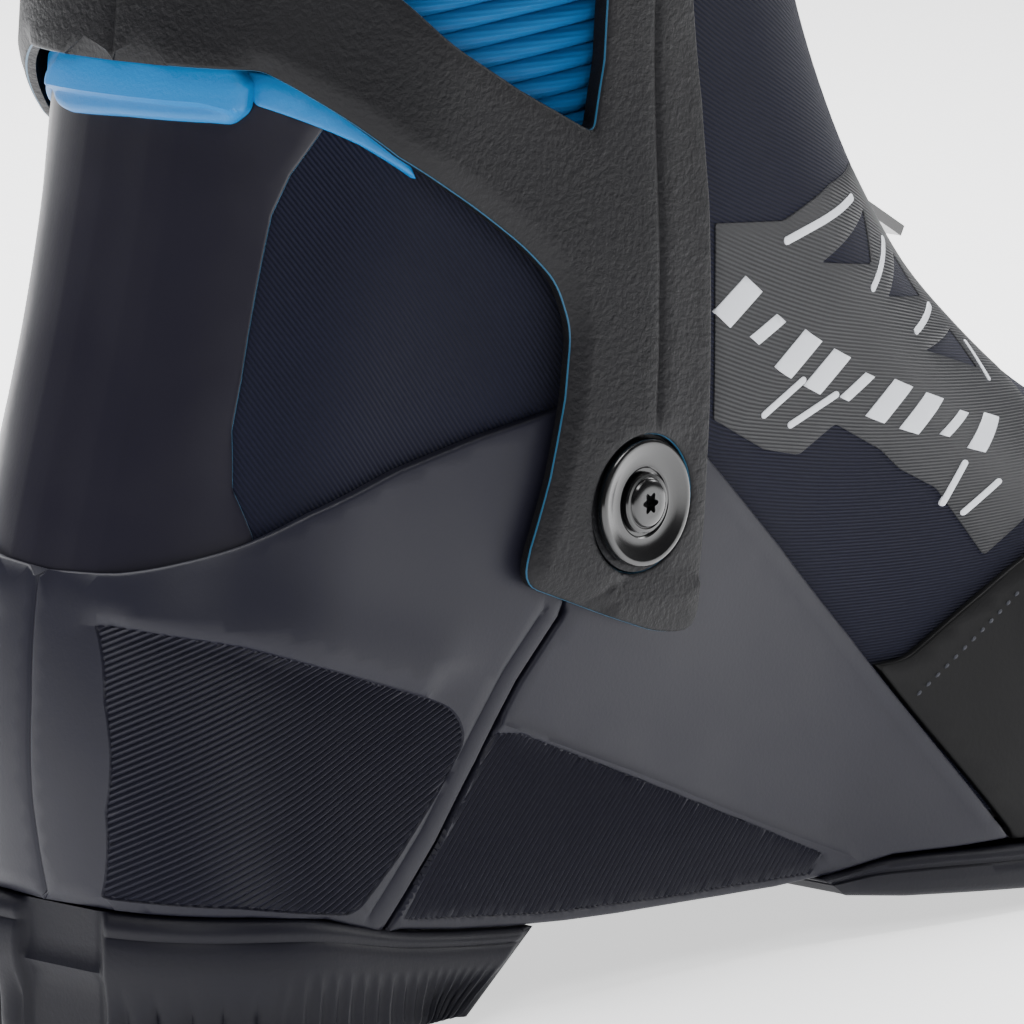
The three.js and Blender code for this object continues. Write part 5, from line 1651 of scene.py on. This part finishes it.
def camera_and_stage():
    """Sets the camera, the lights and the floor."""
    azimuth, elevation, reach = math.radians(-47), math.radians(10), 1400
    back = np.array([math.sin(azimuth) * math.cos(elevation), -math.cos(azimuth) * math.cos(elevation),
                     math.sin(elevation)])
    right = np.array([math.cos(azimuth), math.sin(azimuth), 0])
    up = np.cross(back, right)
    target = np.array([88, -46, 80]) - right * 20.8 - up * 1.4
    data = bpy.data.cameras.new("camera")
    data.lens = 320
    data.clip_end = 20
    camera = bpy.data.objects.new("camera", data)
    bpy.context.collection.objects.link(camera)
    camera.location = place(target + back * reach)
    camera.rotation_euler = Vector(back).to_track_quat("Z", "Y").to_euler()
    bpy.context.scene.camera = camera

    bpy.ops.mesh.primitive_plane_add(size=6, location=(0, 0, -0.0005))
    floor = bpy.context.object
    floor.name = "floor"
    floor.data.materials.append(MATERIALS["floor"])
    world = bpy.data.worlds.new("studio")
    bpy.context.scene.world = world
    world.use_nodes = True
    world.node_tree.nodes["Background"].inputs["Color"].default_value = (1, 1, 1, 1)
    world.node_tree.nodes["Background"].inputs["Strength"].default_value = 0.11
    for name, spot, size, power in [("top", (0.1, 0.3, 1.5), 1.5, 90), ("front", (1.0, -0.5, 0.6), 0.4, 5),
                                    ("rear", (-0.75, -0.55, 0.75), 0.3, 3.5),
                                    ("far", (0.3, 1.2, 0.8), 0.8, 10)]:
        light = bpy.data.lights.new(name, "AREA")
        light.size = size
        light.energy = power
        lamp = bpy.data.objects.new(name, light)
        bpy.context.collection.objects.link(lamp)
        lamp.location = spot
        lamp.rotation_euler = (Vector(spot) - Vector((0, 0, 0.09))).to_track_quat("Z", "Y").to_euler()


# ---- Operators: one for the finishes, one for the stage, and one for each piece or group of like pieces, which most of them hang on a body ----
def done(parts, body, *nodes):
    """Hangs finished pieces on a body, and has them stand for CAD nodes."""
    for part in parts:
        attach(part, body)
    if nodes:
        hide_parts(*nodes)
    return {"FINISHED"}


class BootSettings(bpy.types.PropertyGroup):
    """The sizes and colours that a user would change."""
    chassis_colour: bpy.props.FloatVectorProperty(
        name="Chassis", description="Colour of the moulded chassis", subtype="COLOR", size=3, min=0, max=1,
        default=COLOURS["chassis"])
    cuff_colour: bpy.props.FloatVectorProperty(
        name="Cuff", description="Colour of the cuff", subtype="COLOR", size=3, min=0, max=1,
        default=COLOURS["cuff"])
    softshell_colour: bpy.props.FloatVectorProperty(
        name="Softshell", description="Colour of the softshell upper", subtype="COLOR", size=3, min=0, max=1,
        default=COLOURS["softshell"])
    pad_colour: bpy.props.FloatVectorProperty(
        name="Achilles pad", description="Colour of the blue pad and wedges", subtype="COLOR", size=3, min=0,
        max=1, default=COLOURS["blue_pad"])
    liner_colour: bpy.props.FloatVectorProperty(
        name="Collar liner", description="Colour of the ribbed liner", subtype="COLOR", size=3, min=0, max=1,
        default=COLOURS["blue_knit"])
    stitch_spacing: bpy.props.FloatProperty(
        name="Stitch spacing", description="Distance from one stitch of the overlays to the next",
        subtype="DISTANCE", unit="LENGTH", min=0.001, default=0.0023)
    bevel_width: bpy.props.FloatProperty(
        name="Metal edge", description="Width of the rounding on the zip's slider and puller",
        subtype="DISTANCE", unit="LENGTH", min=0.0001, default=0.00025)


def millimetres(length):
    """A length setting, which is in metres, in millimetres."""
    return round(length / MM, 3)


FRONT_FOLD = ((128, 0, 118), (112, 0, 160))  # two places over the instep; bend works them out but bends nothing
REAR_FOLD = ((40, 0, 122), (40, 0, 160))


def bend(parts, fold):
    """Bakes each soft piece's transform into its mesh; the fold's two places are worked out, but nothing
    bends.
    """
    for part in parts:
        tuple(place(fold[0]))
        tuple(place(fold[1]))
        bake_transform(part)


class BOOT_OT_finishes(bpy.types.Operator):
    """Makes the materials and gives them to the nodes that stay."""
    bl_idname = "boot.finishes"
    bl_label = "Finishes"
    bl_options = {"REGISTER", "UNDO"}

    def execute(self, context):
        make_finishes(context.scene.boot)
        finish_carried()
        return {"FINISHED"}


class BOOT_OT_cradle(bpy.types.Operator):
    """Builds the moulded heel cradle with its ribbed fields."""
    bl_idname = "boot.cradle"
    bl_label = "Heel cradle"
    bl_options = {"REGISTER", "UNDO"}

    def execute(self, context):
        return done([heel_cradle()], "boot", "heel_cradle")


class BOOT_OT_flanks(bpy.types.Operator):
    """Builds the two flanks of the midfoot frame."""
    bl_idname = "boot.flanks"
    bl_label = "Midfoot frame"
    bl_options = {"REGISTER", "UNDO"}

    def execute(self, context):
        return done([joined(midfoot_frame(), "midfoot_frame_flanks")], "boot", "midfoot_frame")


class BOOT_OT_counter(bpy.types.Operator):
    """Builds the glossy heel counter."""
    bl_idname = "boot.counter"
    bl_label = "Heel counter"
    bl_options = {"REGISTER", "UNDO"}

    def execute(self, context):
        return done([heel_counter()], "boot", "heel_counter")


class BOOT_OT_cuff(bpy.types.Operator):
    """Builds the grained cuff with its windows."""
    bl_idname = "boot.cuff"
    bl_label = "Cuff"
    bl_options = {"REGISTER", "UNDO"}

    def execute(self, context):
        return done([cuff_shell()], "cuff", "cuff_shell")


class BOOT_OT_softshell(bpy.types.Operator):
    """Builds the softshell, front and rear."""
    bl_idname = "boot.softshell"
    bl_label = "Softshell"
    bl_options = {"REGISTER", "UNDO"}

    def execute(self, context):
        front = softshell_front()
        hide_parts("quarter_lateral", "quarter_medial", "lace_cover_lateral", "lace_cover_medial",
                    "shaft_front")
        bend([front], FRONT_FOLD)
        bend(softshell_rear(), REAR_FOLD)
        return {"FINISHED"}


class BOOT_OT_film(bpy.types.Operator):
    """Builds the film and its prints."""
    bl_idname = "boot.film"
    bl_label = "Instep film"
    bl_options = {"REGISTER", "UNDO"}

    def execute(self, context):
        bend(film() + prints(), FRONT_FOLD)
        return {"FINISHED"}


class BOOT_OT_overlays(bpy.types.Operator):
    """Builds the side overlays and the toe cap."""
    bl_idname = "boot.overlays"
    bl_label = "Overlays"
    bl_options = {"REGISTER", "UNDO"}

    def execute(self, context):
        parts = side_overlays()
        done(parts, "boot")
        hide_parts("side_overlay_lateral")
        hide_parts("side_overlay_medial")
        return done([toe_cap()], "boot", "toe_cap")


class BOOT_OT_stitches(bpy.types.Operator):
    """Sews the overlays on."""
    bl_idname = "boot.stitches"
    bl_label = "Stitches"
    bl_options = {"REGISTER", "UNDO"}

    def execute(self, context):
        return done(overlay_stitches(millimetres(context.scene.boot.stitch_spacing)), "boot")


class BOOT_OT_heel(bpy.types.Operator):
    """Builds the rubber heel and its lugs."""
    bl_idname = "boot.heel"
    bl_label = "Heel block"
    bl_options = {"REGISTER", "UNDO"}

    def execute(self, context):
        done([heel_block()], "boot", "outsole_heel")
        return done([heel_lugs()], "boot")


class BOOT_OT_forefoot(bpy.types.Operator):
    """Builds the rubber forefoot and its lugs."""
    bl_idname = "boot.forefoot"
    bl_label = "Forefoot block"
    bl_options = {"REGISTER", "UNDO"}

    def execute(self, context):
        done([forefoot_block()], "boot", "outsole_forefoot")
        return done([forefoot_lugs()], "boot")


class BOOT_OT_pivots(bpy.types.Operator):
    """Builds the ankle screws and washers."""
    bl_idname = "boot.pivots"
    bl_label = "Pivots"
    bl_options = {"REGISTER", "UNDO"}

    def execute(self, context):
        for side, name in SIDES:
            washer, screw, floor = pivot_hardware(side, name)
            done([washer], "boot", f"pivot_washer_{name}")
            done([screw], "boot", f"pivot_screw_{name}")
            done([floor], "cuff")
        return {"FINISHED"}


class BOOT_OT_straps(bpy.types.Operator):
    """Builds the webbing, the ring and the rivets."""
    bl_idname = "boot.straps"
    bl_label = "Cuff strap"
    bl_options = {"REGISTER", "UNDO"}

    def execute(self, context):
        strap, end, keeper = straps()
        done([strap], "cuff", "cuff_strap")
        done([end], "strap_end", "strap_end")
        done([keeper], "cuff", "ring_keeper")
        done([wire_ring()], "cuff", "strap_ring")
        done([rivet(MEDIAL, "medial", STRAP["thick"])], "cuff", "strap_rivet")
        return done([rivet(LATERAL, "lateral", 2 * STRAP["thick"] + 0.4)], "cuff", "keeper_rivet")


class BOOT_OT_collar(bpy.types.Operator):
    """Builds the blue liner and the Achilles pad."""
    bl_idname = "boot.collar"
    bl_label = "Collar"
    bl_options = {"REGISTER", "UNDO"}

    def execute(self, context):
        collar = collar_liner()
        done([collar], "cuff", "collar_liner")
        pad = achilles_pad()
        done([pad], "cuff", "achilles_pad")
        return done(blue_wedges(), "cuff")


class BOOT_OT_lining(bpy.types.Operator):
    """Builds the linings, the tongue and the footbed."""
    bl_idname = "boot.lining"
    bl_label = "Linings"
    bl_options = {"REGISTER", "UNDO"}

    def execute(self, context):
        rear, front = lining_rear(), lining_front()
        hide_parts("foot_lining_lateral", "foot_lining_medial")
        bend([rear], REAR_FOLD)
        bend([front], FRONT_FOLD)
        shaft = shaft_lining()
        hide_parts("shaft_lining")
        bend([shaft], FRONT_FOLD)
        pad = tongue()
        done([pad], "boot", "tongue")
        bed = footbed()
        return done([bed], "boot", "footbed")


class BOOT_OT_loop(bpy.types.Operator):
    """Builds the heel's pull loop."""
    bl_idname = "boot.loop"
    bl_label = "Pull loop"
    bl_options = {"REGISTER", "UNDO"}

    def execute(self, context):
        done([pull_loop()], "cuff", "pull_loop")
        return done(loop_tab(), "cuff")


class BOOT_OT_zip(bpy.types.Operator):
    """Builds the zip, its slider and puller."""
    bl_idname = "boot.zip"
    bl_label = "Zip"
    bl_options = {"REGISTER", "UNDO"}

    def execute(self, context):
        done(zip_tape() + [zip_teeth()], "boot", "zip_chain")
        width = context.scene.boot.bevel_width
        done([bevelled_cad("slider_body", "zip_slider", "black_metal", width)], "slider", "zip_slider")
        return done([bevelled_cad("puller_body", "zip_puller", "black_metal", width)], "puller", "zip_puller")


class BOOT_OT_toe(bpy.types.Operator):
    """Builds the toe bar and its carrier."""
    bl_idname = "boot.toe"
    bl_label = "Toe bar"
    bl_options = {"REGISTER", "UNDO"}

    def execute(self, context):
        done([bevelled_cad("bar_carrier", "toe_bar_carrier", "hard_plastic", 0.0006)], "boot",
             "toe_bar_carrier")
        return done([bevelled_cad("bar_pin", "toe_bar", "steel", 0.0003)], "boot", "toe_bar")


class BOOT_OT_stage(bpy.types.Operator):
    """Sets the floor, the lights and the camera."""
    bl_idname = "boot.stage"
    bl_label = "Stage"
    bl_options = {"REGISTER", "UNDO"}

    def execute(self, context):
        camera_and_stage()
        return {"FINISHED"}


OPERATORS = [BOOT_OT_finishes, BOOT_OT_cradle, BOOT_OT_flanks, BOOT_OT_counter,
             BOOT_OT_cuff, BOOT_OT_softshell, BOOT_OT_film, BOOT_OT_overlays,
             BOOT_OT_stitches, BOOT_OT_heel, BOOT_OT_forefoot, BOOT_OT_pivots,
             BOOT_OT_straps, BOOT_OT_collar, BOOT_OT_lining, BOOT_OT_loop,
             BOOT_OT_zip, BOOT_OT_toe, BOOT_OT_stage]


class BOOT_PT_panel(bpy.types.Panel):
    """Lists the boot's settings and its build steps."""
    bl_label = "Boot"
    bl_idname = "BOOT_PT_panel"
    bl_space_type = "VIEW_3D"
    bl_region_type = "UI"
    bl_category = "Boot"

    def draw(self, context):
        for setting in BootSettings.__annotations__:
            self.layout.prop(context.scene.boot, setting)
        for step in OPERATORS:
            self.layout.operator(step.bl_idname)


def register():
    """Makes the settings, the build steps and the panel known."""
    for made in [BootSettings, *OPERATORS, BOOT_PT_panel]:
        bpy.utils.register_class(made)
    bpy.types.Scene.boot = bpy.props.PointerProperty(type=BootSettings)


def unregister():
    """Takes them away again."""
    del bpy.types.Scene.boot
    for made in [BOOT_PT_panel, *OPERATORS[::-1], BootSettings]:
        bpy.utils.unregister_class(made)


def main():
    """Builds everything in order."""
    register()
    for step in OPERATORS:
        getattr(bpy.ops.boot, step.bl_idname.split(".")[1])()


if __name__ == "__main__":
    main()
